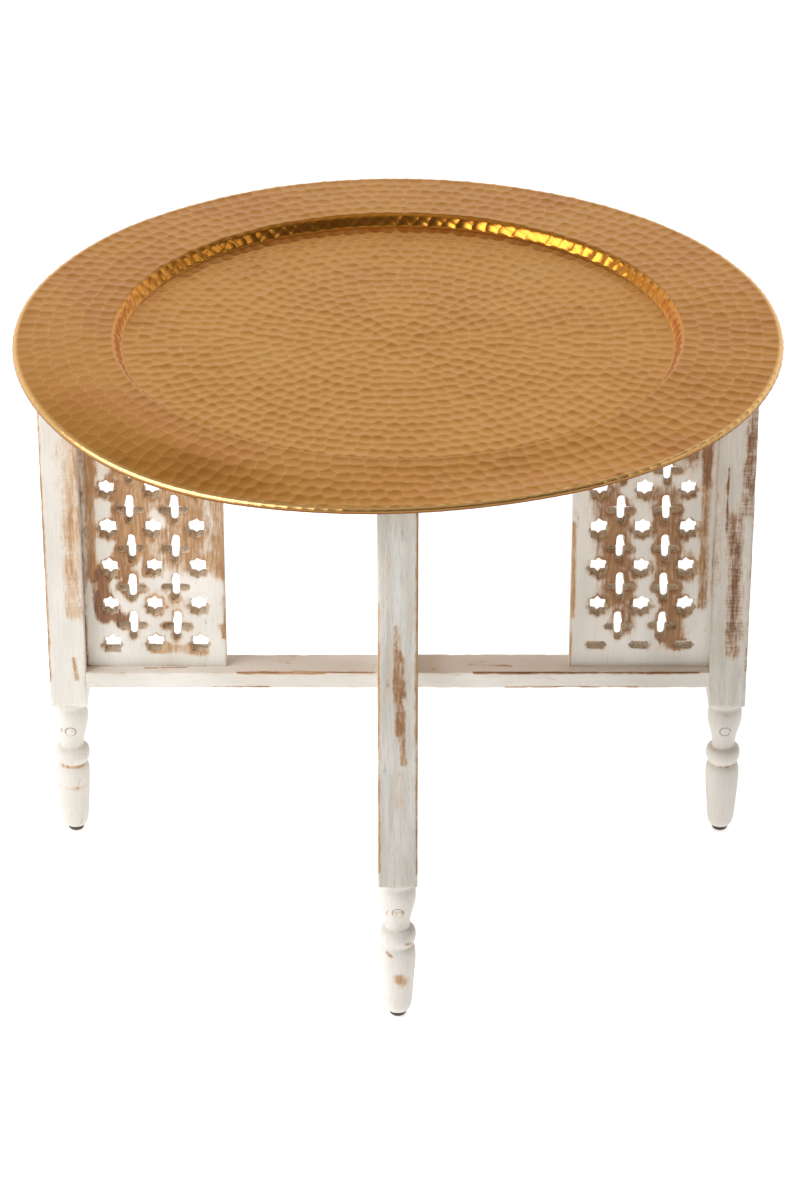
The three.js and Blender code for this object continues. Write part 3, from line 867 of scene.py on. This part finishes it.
FRONT_POST_WEAR = on_face("-y", [
    (-1.0, 352, 0.5, 325, 3.5, 0.6, 0.5), (0.5, 330, 1.5, 290, 6.0, 0.74, 0.52),
    (1.5, 300, 2.0, 262, 5.0, 0.78, 0.56), (2.0, 275, 4.5, 236, 3.4, 0.76, 0.42),
    (5.0, 305, 6.0, 282, 3.2, 0.45, 0.9), (4.5, 335, 7.5, 325, 1.6, -0.4, 0.0),
    (3.5, 292, 7.5, 284, 1.2, -0.35, 0.0), (1.5, 226, 2.0, 198, 4.6, 0.42, 0.0),
    (-14.3, 372, -14.3, 140, 1.1, 0.66, 0.15), (14.3, 455, 14.3, 138, 1.1, 0.64, 0.35),
    (13.4, 330, 13.6, 250, 1.6, 0.6, 0.3), (-9, 412, -9, 365, 4.0, 0.3, 0.8),
    (-4, 335, -5, 290, 5.0, 0.3, 0.5), (8, 400, 8, 350, 4.0, 0.22, 0.6),
])


def post_box(side):
    """Corners of the left (-1) or right (+1) post in its frame's layout."""
    low, high = POST_LOW.copy(), POST_HIGH.copy()
    if side > 0:
        low[0], high[0] = -POST_HIGH[0], -POST_LOW[0]
    return low, high


def joint_soil(points):
    """Dirt and worn paint where a panel meets its post."""
    reach = np.hypot(points[:, 0], points[:, 1])
    return smoothstep(reach, POST_INNER + 1.6, POST_INNER - 0.2) * 0.25


for post_node, post_side, post_turned, post_seed, post_wear, post_grey, post_saw in (
    ("left_post", -1, False, 21, LEFT_POST_WEAR, 0.12, 0.25),
    ("right_post", 1, False, 22, RIGHT_POST_WEAR, 0.7, 0.45),
    ("front_post", -1, True, 23, FRONT_POST_WEAR, 1.0, 0.12),
    ("rear_post", 1, True, 24, [], 0.4, 0.25),
):
    post_low, post_high = post_box(post_side)
    post_high[2] -= POST_GAPS[post_node]
    add_bar(
        post_node, post_low, post_high, 2, 1.0, post_seed, post_wear,
        saw_marks=post_saw, turned=post_turned, soil=joint_soil, grey=post_grey,
    )

LOWER_RAIL_WEAR = on_face("+z", [
    (-206, -7.5, -172, -6.5, 1.6, 0.6, 0.3), (-96, 2, -84, 6, 2.6, 0.42, 0.4),
    (-88, -1, -92, 3, 2.2, 0.5, 0.5), (-130, -14.6, -20, -14.6, 1.0, 0.55, 0.35),
    (-84, -14, -72, -14, 1.9, 0.85, 0.1), (-112, -14.2, -98, -14.2, 1.5, 0.75, 0.5),
    (58, -2, 84, -5, 2.2, 0.55, 0.3), (76, -3, 92, -5, 2.6, 0.62, 0.35), (46, 3, 70, 2, 2.0, 0.36, 0.4),
    (62, -14.6, 245, -14.6, 1.0, 0.66, 0.7), (28, -10, 30, -9, 1.5, 0.6, 0.5),
]) + on_face("-y", [
    (-150, 144.3, -105, 144.3, 0.9, 0.6, 0.5), (88, 144.3, 195, 144.3, 1.0, 0.7, 0.35),
    (62, 157.9, 245, 157.9, 0.8, 0.62, 0.7), (-130, 157.9, -60, 157.9, 0.8, 0.6, 0.4),
])

for rail_node, rail_low, rail_high, rail_seed, rail_wear in (
    ("fixed_lower_rail", RAIL_LOW, RAIL_HIGH, 31, LOWER_RAIL_WEAR),
    ("fixed_upper_rail", UPPER_RAIL_LOW, UPPER_RAIL_HIGH, 32, []),
):
    for rail_turned in (False, True):
        rail_bottom, rail_top = rail_low.copy(), rail_high.copy()
        rail_bottom[0], rail_top[0] = -POST_INNER - 1, POST_INNER + 1
        rail_name = rail_node
        if rail_turned:
            rail_bottom[2] += STACK_LIFT
            rail_top[2] += STACK_LIFT
            rail_name = rail_node.replace("fixed", "turning")
        own_wear = [] if rail_turned else rail_wear
        own_seed = rail_seed + 4 * rail_turned
        add_bar(
            rail_name, rail_bottom, rail_top, 0, 0.9, own_seed, own_wear, saw_marks=0.1, turned=rail_turned
        )


# ---- Pierced panels ----

PITCH_X = 35.5
PITCH_Z = 35.4
FIRST_STAR_ROW = 178.4
STAR_ROWS = 7
STAR_COLUMNS = 3
STAR_RADIUS = 9.2
STAR_WAIST = 0.8
STAR_CUT = 6.2  # how far below their middles the lowest stars are cut off
SLOT_HALF = 3.4  # half the height of the slots that some panels have in place of those stars
CROSS_HEIGHT = 13.4  # middle of a cross to the end of its upright arm
CROSS_REACH = 12.0
CROSS_UPRIGHT = 3.3  # half the width of the upright arm
CROSS_BAR = 2.95
HOLE_STEP = 1.2
FACE_STEP = 2.8
GRID_CLEAR = 1.4  # how far the points on a panel's face keep from its holes
PANEL_EASE = 0.75  # width of the eased edge round a panel and its holes
PANEL_SINK = 1.0  # how far a panel's hidden edges run into the rails and the post


def resample(outline, step):
    """A closed outline with extra points along its longer sides."""
    points = []
    for k, start in enumerate(outline):
        end = outline[(k + 1) % len(outline)]
        count = max(1, round(float(np.linalg.norm(np.array(end) - np.array(start))) / step))
        points.append(np.array([start]))
        if count > 1:
            points.append(line(start, end, count)[:-1])
    return np.concatenate(points)


def star(rng):
    """An eight-pointed star, cut by hand."""
    corners = []
    for k in range(16):
        reach = STAR_RADIUS * (1 if k % 2 == 0 else STAR_WAIST) * rng.uniform(0.94, 1.05)
        angle = (k + rng.uniform(-0.12, 0.12)) * TURN / 16
        corners.append((0.96 * reach * math.cos(angle), 1.03 * reach * math.sin(angle)))
    return resample(corners, HOLE_STEP)


def arm(along, across, half, reach, rng):
    """One round-ended arm of a cross, between two inner corners."""
    reach = reach * rng.uniform(0.95, 1.03)
    ends = np.linspace(-90, 90, 7)
    tip = [(reach - half + half * math.cos(math.radians(a)), half * math.sin(math.radians(a))) for a in ends]
    return [tuple(np.array(along) * out + np.array(across) * side) for out, side in tip]


def cross(rng):
    """A plump cross with rounded ends, cut by hand."""
    corners = []
    for along, across, half, reach, other in (
        ((1, 0), (0, 1), CROSS_BAR, CROSS_REACH, CROSS_UPRIGHT),
        ((0, 1), (-1, 0), CROSS_UPRIGHT, CROSS_HEIGHT, CROSS_BAR),
        ((-1, 0), (0, -1), CROSS_BAR, CROSS_REACH, CROSS_UPRIGHT),
        ((0, -1), (1, 0), CROSS_UPRIGHT, CROSS_HEIGHT, CROSS_BAR),
    ):
        corners += arm(along, across, half, reach, rng)
        corners.append(tuple(np.array(along) * (other + 0.3) + np.array(across) * (half + 0.3)))
    return resample(corners, HOLE_STEP)


def thin_out(outline):
    """Drops points that clipping has piled on each other."""
    kept = [outline[0]]
    for point in outline[1:]:
        if np.linalg.norm(point - kept[-1]) > 0.35 * HOLE_STEP:
            kept.append(point)
    if np.linalg.norm(kept[0] - kept[-1]) < 0.35 * HOLE_STEP:
        kept.pop()
    return np.array(kept)


def hole_outlines(rng, slots):
    """All of a panel's piercings, as outlines over (distance from the axis, height)."""
    middle = (POST_INNER - PANEL_HIGH[0]) / 2
    holes = []
    for row in range(STAR_ROWS):
        for column in range(STAR_COLUMNS):
            shape = star(rng)
            if row == 0 and slots:
                shape[:, 1] = np.clip(shape[:, 1], -SLOT_HALF, SLOT_HALF)
            elif row == 0:
                shape[:, 1] = np.maximum(shape[:, 1], -STAR_CUT)
            at = (middle + (column - 1) * PITCH_X, FIRST_STAR_ROW + row * PITCH_Z)
            holes.append(place(shape, at, rng))
    for row in range(STAR_ROWS - 1):
        for column in range(STAR_COLUMNS - 1):
            at = (middle + (column - 0.5) * PITCH_X, FIRST_STAR_ROW + (row + 0.5) * PITCH_Z)
            holes.append(place(cross(rng), at, rng))
    return holes


def place(shape, at, rng):
    """A shape turned, sized and set down a little out of true."""
    angle = math.radians(rng.uniform(-3, 3))
    size = rng.uniform(0.96, 1.03)
    turn = np.array([[math.cos(angle), -math.sin(angle)], [math.sin(angle), math.cos(angle)]])
    return thin_out(shape @ turn.T * size + np.array(at) + rng.uniform(-0.5, 0.5, 2))


def spread(outline, distance):
    """An outline moved outward by a distance, or inward if it is negative."""
    along = np.roll(outline, -1, axis=0) - np.roll(outline, 1, axis=0)
    along /= np.maximum(np.linalg.norm(along, axis=1), 1e-6)[:, None]
    return outline + distance * np.stack([along[:, 1], -along[:, 0]], axis=1)


def inside(points, outline):
    """Which points lie inside a closed outline."""
    x, y = points[:, 0][:, None], points[:, 1][:, None]
    ax, ay = outline[:, 0], outline[:, 1]
    bx, by = np.roll(ax, -1), np.roll(ay, -1)
    crosses = (ay > y) != (by > y)
    meets = ax + (y - ay) * (bx - ax) / np.where(by == ay, 1e-9, by - ay)
    return (np.sum(crosses & (x < meets), axis=1) % 2).astype(bool)


def distances(points, corners):
    """How far each of a panel's points is from the nearest corner of its outlines."""
    tree = KDTree(len(corners))
    for k, (x, z) in enumerate(corners):
        tree.insert((x, z, 0), k)
    tree.balance()
    return np.array([tree.find((p[0], p[2], 0))[2] for p in points])


def sheet(loops, grid):
    """Points over (r, z) and triangles of a flat sheet: a border, holes, and a grid between them.

    The points of the loops come first, the border's before the holes'.
    """
    border_rim, *rims = loops
    free = np.ones(len(grid), dtype=bool)
    for rim in rims:
        free &= ~inside(grid, spread(rim, GRID_CLEAR))
    flat = np.concatenate([*loops, grid[free]])
    edges = []
    start = 0
    for loop in loops:
        size = len(loop)
        edges += [(start + k, start + (k + 1) % size) for k in range(size)]
        start += size
    _, _, triangles, origins, _, _ = delaunay_2d_cdt([Vector(p) for p in flat], edges, [], 0, 1e-5)
    source = [origin[0] if origin else 0 for origin in origins]
    corners = np.array([[source[i] for i in triangle] for triangle in triangles])
    middles = flat[corners].mean(axis=1)
    keep = inside(middles, border_rim)
    for rim in rims:
        keep &= ~inside(middles, rim)
    return flat, corners[keep]


def panel_mesh(rng, low, high, depth_front, depth_back, slots):
    """A pierced board over (r, z), with eased edges round every hole.

    Gives points as (r, depth, z), faces, each point's distance to an edge, and whether it is
    on the wall of a hole.
    """
    holes = hole_outlines(rng, slots)
    (left, bottom), (right, top) = low, high
    border = resample([(left, bottom), (right, bottom), (right, top), (left, top)], FACE_STEP)
    rims = [spread(hole, PANEL_EASE) for hole in holes]
    border_rim = spread(border, -PANEL_EASE)
    border_rim[:, 0] = np.clip(border_rim[:, 0], left + PANEL_EASE, right - PANEL_EASE)
    border_rim[:, 1] = np.clip(border_rim[:, 1], bottom + PANEL_EASE, top - PANEL_EASE)

    xs = np.arange(left + FACE_STEP, right - FACE_STEP / 2, FACE_STEP)
    zs = np.arange(bottom + FACE_STEP, top - FACE_STEP / 2, FACE_STEP)
    loops = [border_rim, *rims]
    flat, corners = sheet(loops, np.array([(x, z) for x in xs for z in zs]))

    thickness = depth_back - depth_front
    levels = [  # how far a hole is wider than its outline, and how deep, from the front to the back
        (0.3, 0.22),
        (0.0, PANEL_EASE),
        (-0.3, 0.5 * thickness),
        (-0.65, thickness - PANEL_EASE),
        (-0.35, thickness - 0.22),
    ]
    front = np.stack([flat[:, 0], np.full(len(flat), depth_front), flat[:, 1]], axis=1)
    back = np.stack([flat[:, 0], np.full(len(flat), depth_back), flat[:, 1]], axis=1)
    points = [front, back]
    count = len(flat)
    faces = [tuple(int(i) for i in c) for c in corners]
    faces += [tuple(int(i) + count for i in c[::-1]) for c in corners]
    wall = [np.zeros(2 * count)]
    total = 2 * count
    first = 0
    for k, loop in enumerate(loops):
        size = len(loop)
        outline = border if k == 0 else holes[k - 1]
        rows = [np.arange(first, first + size)]
        for out, depth in levels:
            shape = spread(outline, -max(out, 0) if k == 0 else out)
            points.append(np.stack([shape[:, 0], np.full(size, depth_front + depth), shape[:, 1]], axis=1))
            wall.append(np.full(size, 0.0 if k == 0 else 0.5 if out > 0 else 1.0))
            rows.append(np.arange(total, total + size))
            total += size
        rows.append(np.arange(first + count, first + count + size))
        for upper, lower in zip(rows, rows[1:]):
            for j in range(size):
                n = (j + 1) % size
                quad = (int(upper[j]), int(upper[n]), int(lower[n]), int(lower[j]))
                faces.append(quad[::-1] if k == 0 else quad)
        first += size
    points = np.concatenate(points)
    return points, faces, distances(points, np.concatenate(loops)), np.concatenate(wall)


LEFT_PANEL_WEAR = on_face("-y", [
    (-246, 402, -244, 300, 6.5, 0.88, 0.34), (-245, 300, -245, 240, 5.5, 0.84, 0.3),
    (-174, 392, -172, 268, 25, 0.76, 0.22), (-212, 392, -208, 262, 20, 0.76, 0.25),
    (-180, 258, -150, 256, 14, 0.7, 0.16), (-143, 392, -142, 245, 8, 0.76, 0.15),
    (-228, 330, -220, 262, 7, 0.74, 0.45), (-224, 262, -216, 228, 8, 0.8, 0.5),
    (-240, 244, -238, 205, 8, 1.0, 0.8), (-232, 210, -222, 199, 7, 0.85, 0.75),
    (-243, 236, -241, 224, 2.5, 1.0, 0.05), (-196, 222, -176, 216, 9, 0.46, 0.1),
    (-198, 176, -158, 173, 5.5, 0.68, 0.05), (-143, 196, -141, 186, 3.0, 0.75, 0.4),
    (-252, 400, -252.5, 150, 1.1, 0.5, 0.9), (-236, 326, -236, 258, 6, -0.62, 0),
    (-216, 346, -192, 332, 8, -0.55, 0), (-194, 297, -190, 290, 6, -0.45, 0),
    (-212, 258, -208, 252, 5, -0.5, 0), (-172, 325, -168, 318, 6, -0.35, 0),
])
RIGHT_PANEL_WEAR = on_face("-y", [
    (141, 290, 141, 205, 2.2, 0.7, 0.1), (158, 326, 162, 300, 8, 0.62, 0.53),
    (170, 312, 178, 225, 17, 0.74, 0.55), (180, 240, 182, 196, 11, 0.7, 0.53),
    (213, 312, 218, 240, 16, 0.74, 0.55), (220, 245, 222, 184, 12, 0.74, 0.53),
    (234, 262, 234, 240, 6, 0.6, 0.33), (160, 345, 232, 350, 16, 0.5, 0.53),
    (246, 380, 246, 325, 5.0, 0.85, 0.6), (245, 330, 246, 214, 4.2, 0.74, 0.33),
    (252.5, 400, 252.5, 150, 0.8, 0.5, 0.9), (198, 330, 182, 318, 5, -0.5, 0),
    (199, 300, 199, 220, 5, -0.5, 0), (236, 320, 236, 290, 5, -0.5, 0),
])


def add_panel(node, side, turned, seed, strokes, slots):
    rng = np.random.default_rng(seed)
    inner, outer = -PANEL_HIGH[0], POST_INNER + PANEL_SINK
    bottom = RAIL_HIGH[2] - PANEL_SINK
    top = UPPER_RAIL_LOW[2] + PANEL_SINK
    points, faces, gap, wall = panel_mesh(
        rng, (inner, bottom), (outer, top), PANEL_LOW[1], PANEL_HIGH[1], slots
    )
    points = points * np.array([side, 1, 1])
    if side < 0:
        faces = [face[::-1] for face in faces]
    points[:, 1] += waves(points, seed, 60) * 0.14 * (1 - np.clip(wall, 0, 1))
    if turned:
        points = quarter_turn(points)
        points[:, 2] += STACK_LIFT
    material = painted_wood(f"{node}_paint", 2, seed, edge_wear=0.4, grey=0.0)
    piece = make_piece(node, "pierced", points, faces, material)
    box_low, box_high = points.min(axis=0), points.max(axis=0)
    others = ["-x", "+x"] if turned else ["+y"]
    strokes = strokes + stray_strokes(rng, box_low, box_high, others, 26, 2)
    edge = np.maximum(np.exp(-gap / 1.3), 0.75 * wall)
    finish_wood(piece, strokes, edge, wall=wall)


add_panel("left_panel", -1, False, 41, LEFT_PANEL_WEAR, False)
add_panel("right_panel", 1, False, 42, RIGHT_PANEL_WEAR, True)
add_panel("front_panel", -1, True, 43, [], False)
add_panel("rear_panel", 1, True, 44, [], True)


# ---- Turned feet, pegs and glides ----

FOOT_OUTLINE = [
    (0.5, 125.0), (11.6, 125.0), (12.9, 124.2), (12.9, 122.6), (12.2, 120.8), (12.5, 118.6),
    (13.6, 116.0), (14.0, 112.0), (13.9, 107.5), (13.3, 103.0), (12.2, 98.5), (10.9, 93.5),
    (9.9, 88.5), (9.2, 84.2), (9.1, 82.2), (9.7, 81.2), (11.6, 80.6), (13.1, 79.2), (13.9, 76.6),
    (14.0, 73.2), (13.4, 70.2), (12.2, 68.4), (11.5, 67.0), (11.5, 65.6), (12.3, 64.4),
    (13.2, 62.4), (13.7, 59.0), (13.8, 54.0), (13.5, 46.0), (12.9, 38.0), (12.2, 28.0),
    (11.4, 17.0), (10.8, 12.0), (10.1, 8.6), (8.9, 6.4), (7.6, 5.4), (0.5, 5.4),
]
FOOT_SIDES = 64
GROOVES = [(66.3, 1.3), (81.6, 1.2), (120.9, 1.2)]  # height and width


def spline(points, per_span):
    """A smooth open curve through points (Catmull-Rom)."""
    padded = [points[0], *points, points[-1]]
    curve = []
    for a, b, c, d in zip(padded, padded[1:], padded[2:], padded[3:]):
        a, b, c, d = [np.array(p, dtype=float) for p in (a, b, c, d)]
        for k in range(per_span):
            t = k / per_span
            bent = (2 * a - 5 * b + 4 * c - d) * t * t + (3 * b - a - 3 * c + d) * t ** 3
            curve.append(0.5 * (2 * b + (c - a) * t + bent))
    curve.append(np.array(points[-1], dtype=float))
    return np.array(curve)


def turned_rings(outline, centre, sides):
    """Rings of a turning about a vertical axis, bottom first, from (radius, height) pairs."""
    outline = np.asarray(outline)
    if outline[0, 1] > outline[-1, 1]:
        outline = outline[::-1]
    angle = np.arange(sides) * TURN / sides
    return [
        np.stack([centre[0] + r * np.cos(angle), centre[1] + r * np.sin(angle), np.full(sides, z)], axis=1)
        for r, z in outline
    ]


def axis_of(node):
    """Where the vertical axis of a turned piece stands."""
    low, high = box_mm(node)
    return (low + high)[:2] / 2


FOOT_WEAR = {
    "left_foot": on_face("-y", [
        (-14, 66, 14, 66, 1.6, 0.62, 0.1), (-14, 47, 14, 46, 1.5, 0.5, 0.0),
        (-8, 98, -7, 104, 1.2, 0.6, 0.6),
    ]),
    "front_foot": on_face("-y", [
        (1, 41, 4, 37, 4.8, 0.95, 0.0), (7, 72, 10, 70, 2.2, 0.7, 0.4),
        (-8, 63, -5, 61, 1.8, 0.66, 0.4), (-9, 96, -8, 101, 1.1, 0.6, 0.7),
    ]),
    "right_foot": on_face("-y", [
        (-2, 118, 3, 115, 1.6, 0.55, 0.5), (-10, 66, 10, 66, 0.9, 0.5, 0.7),
    ]),
    "rear_foot": on_face("+y", [(-3, 48, 4, 42, 4.0, 0.7, 0.2)]),
}


def add_foot(node, seed):
    centre = axis_of(node)
    outline = spline(FOOT_OUTLINE, 2)
    points, faces = skin(turned_rings(outline, centre, FOOT_SIDES))
    from_axis = points[:, :2] - centre
    points[:, :2] = centre + from_axis * (1 + 0.012 * waves(points, seed, 40))[:, None]
    peg_low, peg_high = box_mm(f"{node}_peg")
    peg = (peg_low + peg_high) / 2
    material = painted_wood(f"{node}_paint", 2, seed, edge_wear=0.3, peg=peg)
    piece = make_piece(node, "turned", points, faces, material)
    strokes = []
    for face, start, end, width, strength, tint in FOOT_WEAR[node]:
        shift = np.array([centre[0], 0])
        strokes.append((face, np.array(start) + shift, np.array(end) + shift, width, strength, tint))
    radius = np.linalg.norm(from_axis, axis=1)
    groove = np.interp(points[:, 2], *groove_table())
    edge = np.exp(-np.abs(points[:, 2] - 124) / 1.2) * 0.6 + groove * 0.4
    finish_wood(piece, strokes, edge * (radius > 2), lambda _: groove * 0.35)


def groove_table():
    """Heights, and how hollow the turning is at each, 1 at the bottom of its grooves."""
    height = np.linspace(0, 130, 521)
    depth = np.zeros(len(height))
    for at, width in GROOVES:
        depth = np.maximum(depth, np.exp(-((height - at) / width) ** 2))
    return height, depth


for foot_node, foot_seed in (("left_foot", 51), ("right_foot", 52), ("front_foot", 53), ("rear_foot", 54)):
    add_foot(foot_node, foot_seed)

PEG_RADIUS = 3.9
PEG_SIDES = 28


def peg_material():
    s = Shading("peg_end_grain")
    rings = s.noise(s.place, 900, 3, 0.6)
    blot = s.noise(s.place, 240, 3, 0.6)
    tone = s.mix(s.fade(blot, 0.35, 0.7), CREAM, WASHED)
    s.set("Base Color", s.mix(s.times(s.fade(rings, 0.55, 0.75), 0.4), tone, SOIL_AND_SHADE))
    s.set("Roughness", 0.7)
    s.set("Normal", s.bump(rings, 0.15))
    return s.material


def add_peg(node, material):
    """A round peg end, crowned and a little proud of the foot."""
    low, high = box_mm(node)
    centre = (low + high) / 2
    front = node.startswith(("left", "front"))
    face, sign = (low[1], 1) if front else (high[1], -1)
    length = high[1] - low[1]
    profile = [
        (0.4, 0.0), (1.6, 0.02), (2.8, 0.12), (3.4, 0.3),
        (PEG_RADIUS, 0.75), (PEG_RADIUS, length - 0.2), (0.4, length),
    ]
    angle = np.arange(PEG_SIDES) * TURN / PEG_SIDES
    rings = []
    for radius, depth in profile:
        ring = np.stack([
            centre[0] + radius * np.cos(angle),
            np.full(PEG_SIDES, face + sign * depth),
            centre[2] + radius * np.sin(angle),
        ], axis=1)
        rings.append(ring)
    if front:
        rings = [ring[::-1] for ring in rings]
    points, faces = skin(rings)
    make_piece(node, "crowned", points, faces, material)


peg_finish = peg_material()
for peg_node in ("left_foot_peg", "right_foot_peg", "front_foot_peg", "rear_foot_peg"):
    add_peg(peg_node, peg_finish)

GLIDE_OUTLINE = [
    (0.4, 0.0), (3.4, 0.0), (4.6, 0.25), (5.8, 0.95), (6.6, 2.1),
    (7.0, 3.6), (7.0, 4.9), (1.2, 4.95), (1.2, 12.0), (0.3, 14.0),
]
GLIDE_SIDES = 40
glide_finish = plain("dark_glide", srgb(74, 48, 36), 0.38, 0.0)
for glide_node in ("left_glide", "right_glide", "front_glide", "rear_glide"):
    glide_points, glide_faces = skin(turned_rings(GLIDE_OUTLINE, axis_of(glide_node), GLIDE_SIDES))
    make_piece(glide_node, "domed", glide_points, glide_faces, glide_finish)


# ---- Pivot hardware ----

steel_finish = plain("zinc_steel", srgb(150, 148, 143), 0.32, 1.0, 0.25, 900)
SHANK_RADIUS = 4.0
HEAD_RADIUS = 10.0
HEAD_HEIGHT = 3.0
BORE_RADIUS = SHANK_RADIUS + 0.25
HARDWARE_SIDES = 36


def bolt_outline(low, high, head_bottom):
    """A domed head over a plain shank, from the end of the shank up."""
    return [
        (SHANK_RADIUS - 0.8, low), (SHANK_RADIUS, low + 0.8),
        (SHANK_RADIUS, head_bottom - 0.02), (HEAD_RADIUS - 0.35, head_bottom),
        (HEAD_RADIUS, head_bottom + 0.3), (HEAD_RADIUS * 0.97, head_bottom + 0.85),
        (HEAD_RADIUS * 0.87, head_bottom + 1.7), (HEAD_RADIUS * 0.68, head_bottom + 2.4),
        (HEAD_RADIUS * 0.4, head_bottom + 2.85), (HEAD_RADIUS * 0.15, high - 0.03), (0.3, high),
    ]


def add_nut(node):
    """A hexagonal nut round the shank, with its corners turned off at both ends."""
    low, high = box_mm(node)
    centre = (low + high) / 2
    angle = np.arange(HARDWARE_SIDES) * TURN / HARDWARE_SIDES
    flats = min(high[0] - low[0], high[1] - low[1]) / 2
    corner = 0 if high[0] - low[0] > high[1] - low[1] else TURN / 12
    hexagon = flats / np.cos((angle + corner) % (TURN / 6) - TURN / 12)
    bore = np.full(HARDWARE_SIDES, BORE_RADIUS)
    end = np.full(HARDWARE_SIDES, flats)
    chamfer = np.minimum(hexagon, flats * 1.08)
    rings = []
    for radius, height in (
        (bore, low[2]),
        (end, low[2]),
        (chamfer, low[2] + 0.4),
        (hexagon, low[2] + 0.9),
        (hexagon, high[2] - 0.9),
        (chamfer, high[2] - 0.4),
        (end, high[2]),
        (bore, high[2]),
    ):
        x, y = centre[0] + radius * np.cos(angle), centre[1] + radius * np.sin(angle)
        rings.append(np.stack([x, y, np.full(HARDWARE_SIDES, height)], axis=1))
    points, faces = tube(rings)
    make_piece(node, "hexagonal", points, faces, steel_finish)


def add_washer(node):
    low, high = box_mm(node)
    soft = 0.2
    outline = [
        (BORE_RADIUS, low[2]), (high[0] - soft, low[2]), (high[0], low[2] + soft),
        (high[0], high[2] - soft), (high[0] - soft, high[2]), (BORE_RADIUS, high[2]),
    ]
    points, faces = tube(turned_rings(outline, axis_of(node), HARDWARE_SIDES))
    make_piece(node, "turned", points, faces, steel_finish)


for level in ("lower", "upper"):
    bolt = f"{level}_pivot_bolt"
    bolt_low, bolt_high = box_mm(bolt)
    outline = bolt_outline(bolt_low[2], bolt_high[2], bolt_high[2] - HEAD_HEIGHT)
    bolt_points, bolt_faces = skin(turned_rings(outline, axis_of(bolt), HARDWARE_SIDES))
    make_piece(bolt, "turned", bolt_points, bolt_faces, steel_finish)
    add_nut(f"{level}_pivot_nut")
    add_washer(f"{level}_middle_washer")
    add_washer(f"{level}_nut_washer")
